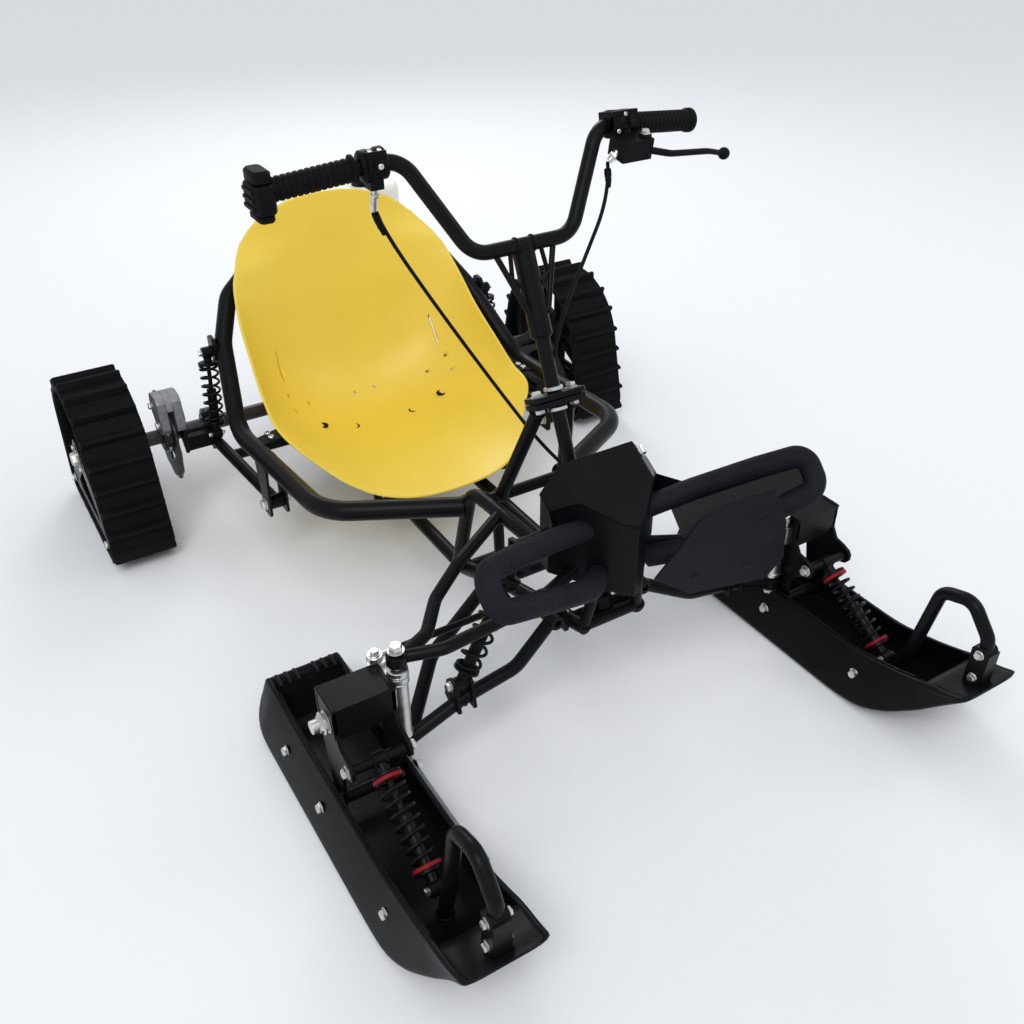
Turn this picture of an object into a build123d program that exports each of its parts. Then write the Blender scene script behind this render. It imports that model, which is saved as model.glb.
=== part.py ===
from build123d import *
from math import atan2, cos, degrees, hypot, pi, radians, sin, sqrt, tan
import os

# Tracked snow go-kart. It faces -Y, +X is its left side, +Z is up, millimetres.

# overall places
ski_tip_y = -780.0           # front end of the skis
bar_radius = 11.1            # handlebar tube

# front suspension places (left side, mirrored for the right)
kingpin_x = 363.0
kingpin_y = -372.0
kingpin_radius = 7.0
knuckle_low = 110.0
knuckle_high = 244.0
stub_height = 196.0
stub_radius = 10.0
arm_pin_x = 380.0
arm_pin_y = -335.0
tie_height = 242.0

# ski
ski_x = 427.0
ski_bottom_half = 94.0
ski_rim_half = 61.0
ski_rim_height = 80.0
ski_wall = 9.0
ski_floor = 12.0
ski_heel_y = -125.0
leg_bolt_y = -382.0
shock_bolt_y = ski_tip_y + 190
ski_bolt_height = 47.0
loop_radius = 10.5

# steering column, a line through the upper clamp
clamp_y = -216.0
clamp_z = 494.0
rake = 24.7
column_radius = 11.0
sleeve_radius = 17.0
pitman_z = 215.0
pitman_reach = 42.0
pitman_half = 40.0
ball_lift = 12.0
running_gap = 0.05

# chassis
rail_radius = 13.0
rail_x = 85.0
rail_low_z = 105.0
rail_front_z = 162.0
rail_nose = (50.0, -388.0, 186.0)
column_foot_z = 190.0
hoop_radius = 17.5
foot_hoop_radius = 17.0

# rear axle and tracks
axle_y = 583.0
axle_z = 172.0
axle_radius = 15.0
track_inner_x = 487.0
track_width = 122.0
track_wheel_radius = 140.0
track_roller_radius = 26.0
track_roller_offset = 146.0
belt = 10.0
lug_height = 15.0
lug_count = 24
arm_x = 338.0
sprocket_x = 285.0
sprocket_radius = 66.0
disc_x = -425.0
disc_radius = 95.0

seat_shell = 6.0
seat_hole_radius = 3.3
seat_slot_width = 6.0

# front damper eyes (left side)
damper_low = (264.0, -370.0, 162.0)
damper_high = (160.0, -356.0, 334.0)

os.makedirs("parts", exist_ok=True)

sides = [(1, "left"), (-1, "right")]

rake_dir = (0.0, sin(radians(rake)), cos(radians(rake)))
rake_side = (0.0, cos(radians(rake)), -sin(radians(rake)))


def column_point(height):
    """The point on the steering axis at a height."""
    return Vector(0, clamp_y + (height - clamp_z) * tan(radians(rake)), height)


def bent_tube(points, bends, radius):
    """A round tube along straight runs with a rounded corner at each inner point."""
    with BuildPart() as tube:
        with BuildLine() as route:
            if len(points) == 2:
                Line(points[0], points[1])
            else:
                FilletPolyline(*points, radius=bends)
        with BuildSketch(Plane(origin=route.line @ 0, z_dir=route.line % 0)):
            Circle(radius)
        sweep()
    return tube.part


def rod(start, end, radius):
    """A straight round bar between two points."""
    run = Vector(*end) - Vector(*start)
    with BuildPart() as bar:
        with BuildSketch(Plane(origin=start, z_dir=run)):
            Circle(radius)
        extrude(amount=run.length)
    return bar.part


def plate_yz(outline, x_from, x_to):
    """A flat plate across X, its outline given as (y, z) points."""
    with BuildPart() as plate:
        with BuildSketch(Plane.YZ.offset(min(x_from, x_to))):
            with BuildLine():
                Polyline(*outline, close=True)
            make_face()
        extrude(amount=abs(x_to - x_from))
    return plate.part


def mirror_x(points, side):
    """The same points for one side of the kart."""
    return [(side * x, y, z) for x, y, z in points]


def coil_over(low, high, coil_radius, rod_radius, eye_radius, eye_half, coil_turns):
    """A spring damper between two eyes as one turned solid, its coils as ridges."""
    run = Vector(*high) - Vector(*low)
    length = run.length
    start = eye_radius + 10
    stop = length - eye_radius - 10
    profile = [(0, eye_radius * 0.6), (rod_radius, eye_radius * 0.6), (rod_radius, start)]
    profile.append((coil_radius, start))
    profile.append((coil_radius, start + 4))
    for turn in range(coil_turns):
        base = start + 4 + turn * (stop - start - 8) / coil_turns
        step = (stop - start - 8) / coil_turns
        profile.append((coil_radius * 0.72, base + step * 0.28))
        profile.append((coil_radius * 0.95, base + step * 0.4))
        profile.append((coil_radius * 0.95, base + step * 0.78))
        profile.append((coil_radius * 0.72, base + step * 0.9))
    profile.append((coil_radius, stop - 4))
    profile.append((coil_radius, stop))
    profile.append((rod_radius * 1.4, stop))
    profile.append((rod_radius * 1.4, length - eye_radius * 0.6))
    profile.append((0, length - eye_radius * 0.6))
    with BuildPart() as damper:
        frame = Plane(origin=low, x_dir=run.cross(Vector(1, 0, 0)), z_dir=run)
        upright = Plane(origin=low, x_dir=frame.x_dir, z_dir=frame.x_dir.cross(frame.z_dir))
        with BuildSketch(upright):
            with BuildLine():
                Polyline(*profile, close=True)
            make_face()
        revolve(axis=Axis(origin=low, direction=run))
        for eye in (low, high):
            with BuildSketch(Plane(origin=(eye[0] - eye_half, eye[1], eye[2]), z_dir=(1, 0, 0))):
                Circle(eye_radius)
            extrude(amount=2 * eye_half)
    return damper.part


# seat shell: rim half width, rim y, rim z, middle y, middle z
seat_sections = [
    (186.0, 98.0, 180.0, 98.0, 160.0),
    (213.0, 213.0, 202.0, 215.0, 150.0),
    (254.0, 271.0, 242.0, 300.0, 147.0),
    (264.0, 350.0, 254.0, 420.0, 148.0),
    (262.0, 413.0, 289.0, 510.0, 160.0),
    (254.0, 484.0, 341.0, 575.0, 212.0),
    (248.0, 538.0, 394.0, 612.0, 300.0),
    (238.0, 578.0, 442.0, 634.0, 400.0),
    (228.0, 603.0, 475.0, 648.0, 468.0),
    (214.0, 648.0, 520.0, 657.0, 520.0),
    (205.0, 668.0, 600.0, 674.0, 600.0),
]
seat_front = [(0.0, 110.0), (60.0, 112.0), (103.0, 121.0), (146.0, 141.0), (174.0, 166.0), (214.0, 212.0)]
seat_top = [(262.0, 300.0), (254.0, 345.0), (247.0, 394.0), (237.0, 440.0), (222.0, 475.0),
            (194.0, 512.0), (147.0, 549.0), (80.0, 573.0), (0.0, 580.0)]

# strap and drain holes of the seat: place on the shell and direction square to it, left side
seat_holes = [((23.4, 539.5, 177.7), (-0.082, -0.587, 0.806)),
              ((140.5, 506.9, 198.6), (-0.485, -0.469, 0.738)),
              ((184.0, 500.2, 230.6), (-0.642, -0.478, 0.599)),
              ((183.2, 467.7, 209.6), (-0.613, -0.327, 0.719))]
slot_low = (180.0, 526.8, 251.4)
slot_high = (178.5, 561.8, 304.5)
slot_square = (-0.590, -0.670, 0.450)

with BuildPart() as seat:
    for half, rim_y, rim_z, mid_y, mid_z in seat_sections:
        drop = Vector(0, mid_y - rim_y, mid_z - rim_z)
        outward = drop.normalized() * seat_shell
        rim_l = Vector(half, rim_y, rim_z)
        rim_r = Vector(-half, rim_y, rim_z)
        middle = Vector(0, mid_y, mid_z)
        section = Plane(origin=middle, x_dir=(1, 0, 0), z_dir=Vector(1, 0, 0).cross(drop))
        with BuildSketch(section):
            with BuildLine():
                inner = ThreePointArc(*[section.to_local_coords(p) for p in (rim_r, middle, rim_l)])
                outer = ThreePointArc(*[section.to_local_coords(p + outward)
                                        for p in (rim_r, middle, rim_l)])
                Line(inner @ 0, outer @ 0)
                Line(inner @ 1, outer @ 1)
            make_face()
    loft()
    with BuildSketch(Plane.XY.offset(80)):
        with BuildLine():
            front_r = [(-x, y) for x, y in reversed(seat_front)]
            Polyline(*front_r, *seat_front[1:], (300, 330), (300, 720), (-300, 720), (-300, 330), close=True)
        make_face()
    extrude(amount=600, mode=Mode.INTERSECT)
    with BuildSketch(Plane.XZ):
        with BuildLine():
            top_r = [(-x, z) for x, z in reversed(seat_top)]
            Polyline(*seat_top, *top_r[1:], (-300, 250), (-300, 100), (300, 100), (300, 250), close=True)
        make_face()
    extrude(amount=-800, mode=Mode.INTERSECT)
    for side in (1, -1):
        for (x, y, z), (across, along, up) in seat_holes:
            with BuildSketch(Plane(origin=(side * x, y, z), z_dir=(side * across, along, up))):
                Circle(seat_hole_radius)
            extrude(amount=14, both=True, mode=Mode.SUBTRACT)
        low = Vector(side * slot_low[0], slot_low[1], slot_low[2])
        high = Vector(side * slot_high[0], slot_high[1], slot_high[2])
        square = Vector(side * slot_square[0], slot_square[1], slot_square[2])
        with BuildSketch(Plane(origin=(low + high) / 2, x_dir=high - low, z_dir=square)):
            SlotOverall((high - low).length + seat_slot_width, seat_slot_width)
        extrude(amount=18, both=True, mode=Mode.SUBTRACT)
seat.part.label = "seat"
export_step(seat.part, "parts/seat.step")

# chassis tubes
column_foot = column_point(column_foot_z)
rail_path = [rail_nose, (rail_x, -190, rail_front_z), (rail_x, -60, rail_low_z),
             (rail_x, 652, rail_low_z), (rail_x, 672, 458)]
upper_path = [(34, -404, 296), (80, -300, 300), (95, -112, 303), (98, -60, 112)]
low_tubes = [
    # half width, y, z, radius
    (rail_nose[0] - 2, rail_nose[1] + 6, rail_nose[2], 10),
    (rail_nose[0] + 4, column_foot.Y, column_foot_z - 6, 10),
    (rail_x, -190, rail_front_z, 10),
    (rail_x, -60, rail_low_z, 10),
    (rail_x, 640, rail_low_z, 10),
    (150, 180, 126, 9),
    (150, 440, 126, 9),
]
high_tubes = [
    # half width, y, z, radius
    (34, -398, 296, 9),
    (96, -150, 302, 10),
    (45, -368, 366, 9),
]
arm_lugs = [[(-362, 168), (-362, 205), (-330, 205), (-330, 168)],
            [(-206, 150), (-206, 200), (-174, 200), (-174, 150)]]
seat_posts = [
    # x, y, top
    (70, 180, 153),
    (70, 440, 155),
    (140, 180, 166),
    (140, 440, 180),
]
tower_y = -335
tower_z = 345
tower_half = 150
rails = {}
uppers = {}
posts = {}
uprights = {}
stays = {}
for side, tag in sides:
    rails[tag] = bent_tube(mirror_x(rail_path, side), [70, 70, 70], rail_radius)
    uppers[tag] = bent_tube(mirror_x(upper_path, side), [80, 40], 12)
    posts[tag] = rod((side * 45, -384, 292), (side * 45, -368, 366), 9)
    uprights[tag] = rod((side * rail_nose[0], rail_nose[1] + 6, rail_nose[2]), (side * 36, -398, 296), 9)
    stays[tag] = rod((side * rail_x, -190, rail_front_z), (side * 90, -190, 301), 9)
tower_bar = rod((-tower_half, tower_y, tower_z), (tower_half, tower_y, tower_z), 10)
leg_bar = rod((-96, -150, 302), (96, -150, 302), 10)
with BuildPart() as stud_set:
    for x, y, top in seat_posts:
        add(rod((x, y, 122), (x, y, top), 8))
        add(rod((-x, y, 122), (-x, y, top), 8))
    add(seat.part, mode=Mode.SUBTRACT)

# lower frame: rails, cross tubes, seat posts, arm lugs and the foot bearing of the column
with BuildPart() as main_frame:
    for side, tag in sides:
        add(rails[tag])
        for lug in arm_lugs:
            add(plate_yz(lug, side * 64, side * 72))
    for half, y, z, radius in low_tubes:
        add(rod((-half, y, z), (half, y, z), radius))
    for stud in stud_set.part.solids():
        if stud.volume > 3500:
            add(stud)
    with BuildSketch(Plane(origin=column_foot, z_dir=rake_dir)):
        Circle(20)
    extrude(amount=16, both=True)
    with BuildSketch(Plane(origin=column_foot + Vector(*rake_dir) * -4, z_dir=rake_dir)):
        Circle(column_radius + running_gap)
    extrude(amount=40, mode=Mode.SUBTRACT)
main_frame.part.label = "main_frame"
export_step(main_frame.part, "parts/main_frame.step")

# upper frame: rails over the tie rods, uprights and the tower that carries the front dampers
with BuildPart() as upper_frame:
    for side, tag in sides:
        add(uppers[tag])
        add(posts[tag])
        add(uprights[tag])
        add(stays[tag])
        add(rod((side * 45, -368, 366), (side * 60, tower_y, tower_z), 9))
        add(rod((side * 78, -305, 300), (side * 84, tower_y, tower_z), 9))
        # damper ears at the ends of the tower bar
        add(plate_yz([(damper_high[1] - 16, damper_high[2] - 12), (damper_high[1] - 16, damper_high[2] + 14),
                      (tower_y - 6, tower_z + 14), (tower_y + 14, tower_z + 10), (tower_y + 14, tower_z - 14),
                      (damper_high[1] + 6, damper_high[2] - 16)], side * (tower_half - 8), side * tower_half))
    for half, y, z, radius in high_tubes:
        add(rod((-half, y, z), (half, y, z), radius))
    add(tower_bar)
    add(main_frame.part, mode=Mode.SUBTRACT)
upper_frame.part.label = "upper_frame"
export_step(upper_frame.part, "parts/upper_frame.step")

# side hoops: one tube each, meeting behind the seat
hoop_path = [(100, -94, 262), (306, 25, 256), (322, 417, 225), (285, 560, 352), (243, 622, 420),
             (150, 680, 470), (0, 680, 470)]
trailing_bracket = [(244, 130), (244, 170), (236, 236), (296, 232), (286, 168), (286, 130)]
side_hoops = {}
for side, tag in sides:
    with BuildPart() as seat_tab:
        add(plate_yz([(320, 230), (320, 247), (364, 243), (364, 226)], side * 258, side * 318))
        add(seat.part, mode=Mode.SUBTRACT)
    with BuildPart() as side_hoop:
        add(bent_tube(mirror_x(hoop_path, side), [90, 110, 110, 60, 60], hoop_radius))
        add(plate_yz(trailing_bracket, side * 295, side * 300))
        add(plate_yz(trailing_bracket, side * 328, side * 333))
        # rear damper ear
        add(plate_yz([(540, 326), (540, 366), (576, 372), (576, 326)], side * 303, side * 311))
        add(uppers[tag], mode=Mode.SUBTRACT)
        add(rails[tag], mode=Mode.SUBTRACT)
        add(seat_tab.part.solids().sort_by(SortBy.VOLUME)[-1])
    side_hoops[tag] = side_hoop.part
    side_hoop.part.label = "side_hoop_" + tag
    export_step(side_hoop.part, "parts/side_hoop_" + tag + ".step")

# two legs that carry the upper bearing of the steering column
with BuildPart() as column_support:
    for side, tag in sides:
        add(rod((side * 26, clamp_y + 4, 482), (side * 62, -152, 302), 11))
        add(rod((side * 30, clamp_y, clamp_z - 14), (side * 30, clamp_y, clamp_z + 16), 7))
    with BuildSketch(Plane(origin=column_point(clamp_z), x_dir=(1, 0, 0), z_dir=rake_dir)):
        RectangleRounded(92, 46, 9)
    extrude(amount=9, both=True)
    with BuildSketch(Plane(origin=column_point(clamp_z), x_dir=(1, 0, 0), z_dir=rake_dir)):
        Circle(column_radius + running_gap)
    extrude(amount=60, both=True, mode=Mode.SUBTRACT)
    add(leg_bar, mode=Mode.SUBTRACT)
column_support.part.label = "column_support"
export_step(column_support.part, "parts/column_support.step")

# foot hoops at the front
foot_path = [(50, -378, 366), (123, -407, 393), (209, -444, 421), (277, -472, 438),
             (277, -509, 397), (180, -490, 366), (95, -458, 327), (46, -404, 296)]
foot_hoops = {}
for side, tag in sides:
    with BuildPart() as foot_hoop:
        add(bent_tube(mirror_x(foot_path, side), [80, 80, 22, 22, 80, 80], foot_hoop_radius))
        add(posts[tag], mode=Mode.SUBTRACT)
        add(uppers[tag], mode=Mode.SUBTRACT)
        add(rod((-45, -368, 366), (45, -368, 366), 9), mode=Mode.SUBTRACT)
        add(uprights[tag], mode=Mode.SUBTRACT)
        add(rod((side * 45, -368, 366), (side * 60, tower_y, tower_z), 9), mode=Mode.SUBTRACT)
        add(rod((-34, -398, 296), (34, -398, 296), 9), mode=Mode.SUBTRACT)
    foot_hoops[tag] = foot_hoop.part
    foot_hoop.part.label = "foot_hoop_" + tag
    export_step(foot_hoop.part, "parts/foot_hoop_" + tag + ".step")

# folded cover over the frame nose
with BuildPart() as nose_core:
    with BuildSketch(Plane.XY.offset(200)):
        with BuildLine():
            Polyline((0, -434), (12, -428), (100, -342), (100, -250), (-100, -250), (-100, -342),
                     (-12, -428), close=True)
        make_face()
    extrude(amount=300)
    split(bisect_by=Plane(origin=(0, -428, 386), z_dir=(0, -57, 95)), keep=Keep.BOTTOM)
with BuildPart() as nose_panel:
    with BuildSketch(Plane.XY.offset(200)):
        with BuildLine():
            Polyline((0, -438), (14, -431), (104, -344), (104, -322), (-104, -322), (-104, -344),
                     (-14, -431), close=True)
        make_face()
    extrude(amount=300)
    split(bisect_by=Plane(origin=(0, -428, 390), z_dir=(0, -57, 95)), keep=Keep.BOTTOM)
    split(bisect_by=Plane(origin=(0, -431, 262), z_dir=(0, -30, 96)), keep=Keep.TOP)
    add(nose_core.part, mode=Mode.SUBTRACT)
    add(tower_bar, mode=Mode.SUBTRACT)
    for side, tag in sides:
        add(uppers[tag], mode=Mode.SUBTRACT)
        add(uprights[tag], mode=Mode.SUBTRACT)
        add(foot_hoops[tag], mode=Mode.SUBTRACT)
        # slots for the upper arm's front tube and the damper
        add(rod((side * 150, -398, 283), (side * 50, -368, 299), 16), mode=Mode.SUBTRACT)
nose_panel.part.label = "nose_panel"
export_step(nose_panel.part, "parts/nose_panel.step")

# grey foot shield in front of the left hoop's lower run, and the dark sheet that closes the loop
guard_half = 1.5
guard_along = (Vector(*foot_path[5]) - Vector(*foot_path[6])).normalized()
guard_square = guard_along.cross(Vector(0, 0.24, -0.97)).normalized()
guard_origin = Vector(*foot_path[6]) - guard_square * (foot_hoop_radius + guard_half - 0.4)
well_plane = Plane(origin=foot_path[2], z_dir=(0.439, 0.562, -0.702))
well_corners = [(86, -392, 379), (209, -444, 421), (274, -471, 436), (274, -507, 397), (180, -490, 366),
                (86, -448, 321)]
with BuildPart() as foot_guard_left:
    with BuildSketch(Plane(origin=guard_origin, x_dir=guard_along, z_dir=guard_square)):
        with BuildLine():
            FilletPolyline((-76, 3), (-16, -52), (18, -88), (56, -96), (130, -78), (134, 10), (116, 98), (80, 130),
                           (17, 102), (-38, 78), radius=10, close=True)
        make_face()
    extrude(amount=guard_half, both=True)
    with BuildSketch(well_plane):
        with BuildLine():
            Polyline([(well_plane.to_local_coords(Vector(*p)).X, well_plane.to_local_coords(Vector(*p)).Y)
                      for p in well_corners], close=True)
        make_face()
    extrude(amount=guard_half, both=True)
    add(foot_hoops["left"], mode=Mode.SUBTRACT)
foot_guard_left.part.label = "foot_guard_left"
export_step(foot_guard_left.part, "parts/foot_guard_left.step")

# front arms, upper and lower, one node a side
front_arms = {}
for side, tag in sides:
    with BuildPart() as arms:
        for eye_low, eye_high in ((88, 106), (250, 268)):
            with BuildSketch(Plane.XY.offset(eye_low)):
                with Locations((side * kingpin_x, kingpin_y)):
                    Circle(15)
            extrude(amount=eye_high - eye_low)
        add(bent_tube(mirror_x([(352, -372, 97), (262, -372, 132), (170, -375, 152), (84, -346, 190)], side),
                      [60, 60], 11))
        add(bent_tube(mirror_x([(352, -370, 97), (262, -272, 140), (90, -190, 188)], side), [70], 11))
        add(bent_tube(mirror_x([(352, -371, 259), (305, -352, 263), (262, -298, 271), (200, -259, 289),
                                (96, -200, 302)], side), [30, 40, 60], 10))
        add(bent_tube(mirror_x([(352, -373, 259), (300, -394, 264), (150, -398, 283), (62, -372, 297)], side),
                      [50, 60], 10))
        for y, z, half in ((-346, 190, 16), (-190, 188, 16)):
            add(rod((side * 85, y - half, z), (side * 85, y + half, z), 13))
        # damper bracket on the lower arm
        eye_x, eye_y, eye_z = damper_low
        for x_from in (eye_x - 16, eye_x + 10):
            add(plate_yz([(eye_y - 20, eye_z - 40), (eye_y - 13, eye_z + 9), (eye_y + 13, eye_z + 9),
                          (eye_y + 24, eye_z - 32), (eye_y + 8, eye_z - 42)], side * x_from, side * (x_from + 6)))
        low_eye = Vector(side * eye_x, eye_y, eye_z)
        damper_run = (Vector(*mirror_x([damper_high], side)[0]) - low_eye).normalized()
        add(rod(tuple(low_eye + damper_run * 4), tuple(low_eye + damper_run * 24), 8), mode=Mode.SUBTRACT)
        for eye_low, eye_high in ((80, 112), (246, 280)):
            with BuildSketch(Plane.XY.offset(eye_low)):
                with Locations((side * kingpin_x, kingpin_y)):
                    Circle(kingpin_radius + running_gap)
            extrude(amount=eye_high - eye_low, mode=Mode.SUBTRACT)
        add(uppers[tag], mode=Mode.SUBTRACT)
        add(rails[tag], mode=Mode.SUBTRACT)
        add(stays[tag], mode=Mode.SUBTRACT)
        for lug in arm_lugs:
            add(plate_yz(lug, side * 64, side * 72), mode=Mode.SUBTRACT)
    front_arms[tag] = arms.part
    arms.part.label = "arms_" + tag
    export_step(arms.part, "parts/arms_" + tag + ".step")

for side, tag in sides:
    with BuildPart() as front_shock:
        add(coil_over(mirror_x([damper_low], side)[0], mirror_x([damper_high], side)[0], 20, 7, 11, 10, 7))
    front_shock.part.label = "front_shock_" + tag
    export_step(front_shock.part, "parts/front_shock_" + tag + ".step")

# trailing arms with a cross tube and the bearing carriers
with BuildPart() as swingarm:
    add(rod((-arm_x + 8, 500, 131), (arm_x - 8, 500, 131), 11))
    for side, tag in sides:
        add(rod((side * 313.5, 265, 147), (side * arm_x, 548, 150), 12))
        add(rod((side * 300, 265, 147), (side * 328, 265, 147), 14))
        with BuildSketch(Plane.YZ.offset(side * arm_x - 9)):
            with BuildLine():
                Polyline((540, 134), (590, 138), (612, 160), (608, 196), (582, 206), (556, 190),
                         (540, 166), close=True)
            make_face()
        extrude(amount=18)
    with BuildSketch(Plane.YZ.offset(-400)):
        with Locations((axle_y, axle_z)):
            Circle(axle_radius)
    extrude(amount=800, mode=Mode.SUBTRACT)
swingarm.part.label = "swingarm"
export_step(swingarm.part, "parts/swingarm.step")

with BuildPart() as rear_shocks:
    for side, tag in sides:
        add(coil_over((side * 336, 538, 170), (side * 321, 558, 342), 20, 7, 11, 10, 7))
    add(swingarm.part, mode=Mode.SUBTRACT)
rear_shocks.part.label = "rear_shocks"
export_step(rear_shocks.part, "parts/rear_shocks.step")

# axle with the chain sprocket and the brake disc
with BuildPart() as rear_axle:
    add(rod((-606, axle_y, axle_z), (606, axle_y, axle_z), axle_radius))
    for x_from, x_to, radius in ((sprocket_x - 3, sprocket_x + 3, sprocket_radius),
                                 (sprocket_x - 12, sprocket_x + 12, 28),
                                 (disc_x - 2.5, disc_x + 2.5, disc_radius),
                                 (disc_x - 14, disc_x + 14, 32)):
        add(rod((x_from, axle_y, axle_z), (x_to, axle_y, axle_z), radius))
rear_axle.part.label = "rear_axle"
export_step(rear_axle.part, "parts/rear_axle.step")

with BuildPart() as brake_caliper:
    add(plate_yz([(500, 222), (528, 206), (566, 246), (560, 288), (512, 290)], disc_x - 24, disc_x + 24))
    add(plate_yz([(524, 150), (560, 196), (566, 246), (512, 262), (506, 240)], disc_x + 18, disc_x + 30))
    add(plate_yz([(530, 150), (556, 150), (560, 176), (536, 178)], disc_x + 22, -arm_x - 9))
    add(rod((disc_x - 4, axle_y, axle_z), (disc_x + 4, axle_y, axle_z), disc_radius + 1), mode=Mode.SUBTRACT)
    add(swingarm.part, mode=Mode.SUBTRACT)
    add(rear_axle.part, mode=Mode.SUBTRACT)
brake_caliper.part.label = "brake_caliper"
export_step(brake_caliper.part, "parts/brake_caliper.step")

# engine behind the seat
engine_x = 85.0
clutch_y = 716.0
clutch_z = 262.0
with BuildPart() as engine:
    with Locations((engine_x, 726, 270)):
        Box(180, 84, 136)
    with Locations((engine_x, 726, 196)):
        Box(214, 92, 12)
    with Locations((engine_x + 20, 728, 392)):
        Box(70, 60, 116)
    for level in range(7):
        with Locations((engine_x + 20, 728, 350 + level * 13)):
            Box(116, 88, 4)
    add(rod((engine_x - 130, 728, 290), (engine_x - 90, 728, 290), 42))
    add(rod((engine_x + 90, clutch_y, clutch_z), (sprocket_x + 8, clutch_y, clutch_z), 11))
    add(rod((sprocket_x - 34, clutch_y, clutch_z), (sprocket_x - 10, clutch_y, clutch_z), 34))
    add(rod((sprocket_x - 3, clutch_y, clutch_z), (sprocket_x + 3, clutch_y, clutch_z), 20))
    add(bent_tube([(engine_x - 20, 740, 370), (engine_x - 100, 740, 370), (engine_x - 150, 735, 400)], 30, 11))
    add(rod((engine_x - 225, 735, 400), (engine_x - 115, 735, 400), 34))
    # mounts to the frame uprights
    with Locations((0, 677, 210)):
        Box(200, 8, 60)
    with Locations((0, 677, 196)):
        Box(200, 8, 12)
    with Locations((engine_x, 682, 196)):
        Box(200, 20, 12)
    add(rails["left"], mode=Mode.SUBTRACT)
    add(rails["right"], mode=Mode.SUBTRACT)
engine.part.label = "engine"
export_step(engine.part, "parts/engine.step")

with BuildPart() as fuel_tank:
    with BuildSketch(Plane.XY.offset(462)):
        with Locations((70, 734)):
            RectangleRounded(260, 72, 30)
    extrude(amount=100)
    add(rod((120, 734, 555), (120, 734, 580), 24))
    with Locations((70, 700, 470)):
        Box(150, 14, 14)
    add(side_hoops["left"], mode=Mode.SUBTRACT)
    add(side_hoops["right"], mode=Mode.SUBTRACT)
    add(engine.part, mode=Mode.SUBTRACT)
fuel_tank.part.label = "fuel_tank"
export_step(fuel_tank.part, "parts/fuel_tank.step")

# drive chain from the engine to the axle
with BuildPart() as chain:
    with BuildSketch(Plane.YZ.offset(sprocket_x - 4)):
        with Locations((axle_y, axle_z)):
            Circle(sprocket_radius + 9)
        with Locations((clutch_y, clutch_z)):
            Circle(20 + 9)
        make_hull()
    extrude(amount=8)
    with BuildSketch(Plane.YZ.offset(sprocket_x - 5)):
        with Locations((axle_y, axle_z)):
            Circle(sprocket_radius)
        with Locations((clutch_y, clutch_z)):
            Circle(20)
        make_hull()
    extrude(amount=10, mode=Mode.SUBTRACT)
chain.part.label = "chain"
export_step(chain.part, "parts/chain.step")

# tracks
roller_z = lug_height + belt + track_roller_radius
track_parts = {}
for side, tag in sides:
    x_low = side * track_inner_x if side > 0 else -track_inner_x - track_width
    with BuildPart() as track:
        with BuildSketch(Plane.YZ.offset(x_low)) as belt_outline:
            with Locations((axle_y, axle_z)):
                Circle(track_wheel_radius + belt)
            with Locations((axle_y - track_roller_offset, roller_z), (axle_y + track_roller_offset, roller_z)):
                Circle(track_roller_radius + belt)
            make_hull()
        loop = belt_outline.face().outer_wire()
        extrude(amount=track_width)
        with BuildSketch(Plane.YZ.offset(x_low)):
            for number in range(lug_count):
                place = loop.position_at((number + 0.5) / lug_count)
                heading = loop.tangent_at((number + 0.5) / lug_count)
                angle = degrees(atan2(heading.Y, heading.X))
                with Locations(Location((place.X, place.Y, 0), (0, 0, 1), angle)):
                    Trapezoid(16, lug_height * 2, 82)
        extrude(amount=track_width)
        with BuildSketch(Plane.YZ.offset(x_low)):
            with Locations((axle_y, axle_z)):
                Circle(track_wheel_radius)
            with Locations((axle_y - track_roller_offset, roller_z), (axle_y + track_roller_offset, roller_z)):
                Circle(track_roller_radius)
            make_hull()
        extrude(amount=track_width, mode=Mode.SUBTRACT)
    track_parts[tag] = track.part
    track.part.label = "track_" + tag
    export_step(track.part, "parts/track_" + tag + ".step")

for side, tag in sides:
    middle = side * (track_inner_x + track_width / 2)
    with BuildPart() as track_wheels:
        with BuildSketch(Plane.YZ.offset(middle - 40)):
            with Locations((axle_y, axle_z)):
                Circle(track_wheel_radius)
                Circle(track_wheel_radius - 12, mode=Mode.SUBTRACT)
        extrude(amount=80)
        with BuildSketch(Plane.YZ.offset(middle - 5)):
            with Locations((axle_y, axle_z)):
                Circle(track_wheel_radius - 6)
                with PolarLocations(82, 6):
                    Circle(26, mode=Mode.SUBTRACT)
        extrude(amount=10)
        with BuildSketch(Plane.YZ.offset(middle - 56)):
            with Locations((axle_y, axle_z)):
                Circle(30)
        extrude(amount=112)
        for end in (-1, 1):
            spot_y = axle_y + end * track_roller_offset
            for x_from, x_to, radius in ((-46, 46, track_roller_radius), (-58, 58, 8)):
                with BuildSketch(Plane.YZ.offset(middle + x_from)):
                    with Locations((spot_y, roller_z)):
                        Circle(radius)
                extrude(amount=x_to - x_from)
        for plate_x in (-56, 49):
            with BuildSketch(Plane.YZ.offset(middle + plate_x)):
                with Locations((axle_y, axle_z)):
                    Circle(38)
                with Locations((axle_y - track_roller_offset, roller_z), (axle_y + track_roller_offset, roller_z)):
                    Circle(18)
                make_hull()
            extrude(amount=7)
        with BuildSketch(Plane.YZ.offset(middle - 70)):
            with Locations((axle_y, axle_z)):
                Circle(axle_radius)
        extrude(amount=140, mode=Mode.SUBTRACT)
    track_wheels.part.label = "track_wheels_" + tag
    export_step(track_wheels.part, "parts/track_wheels_" + tag + ".step")

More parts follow.
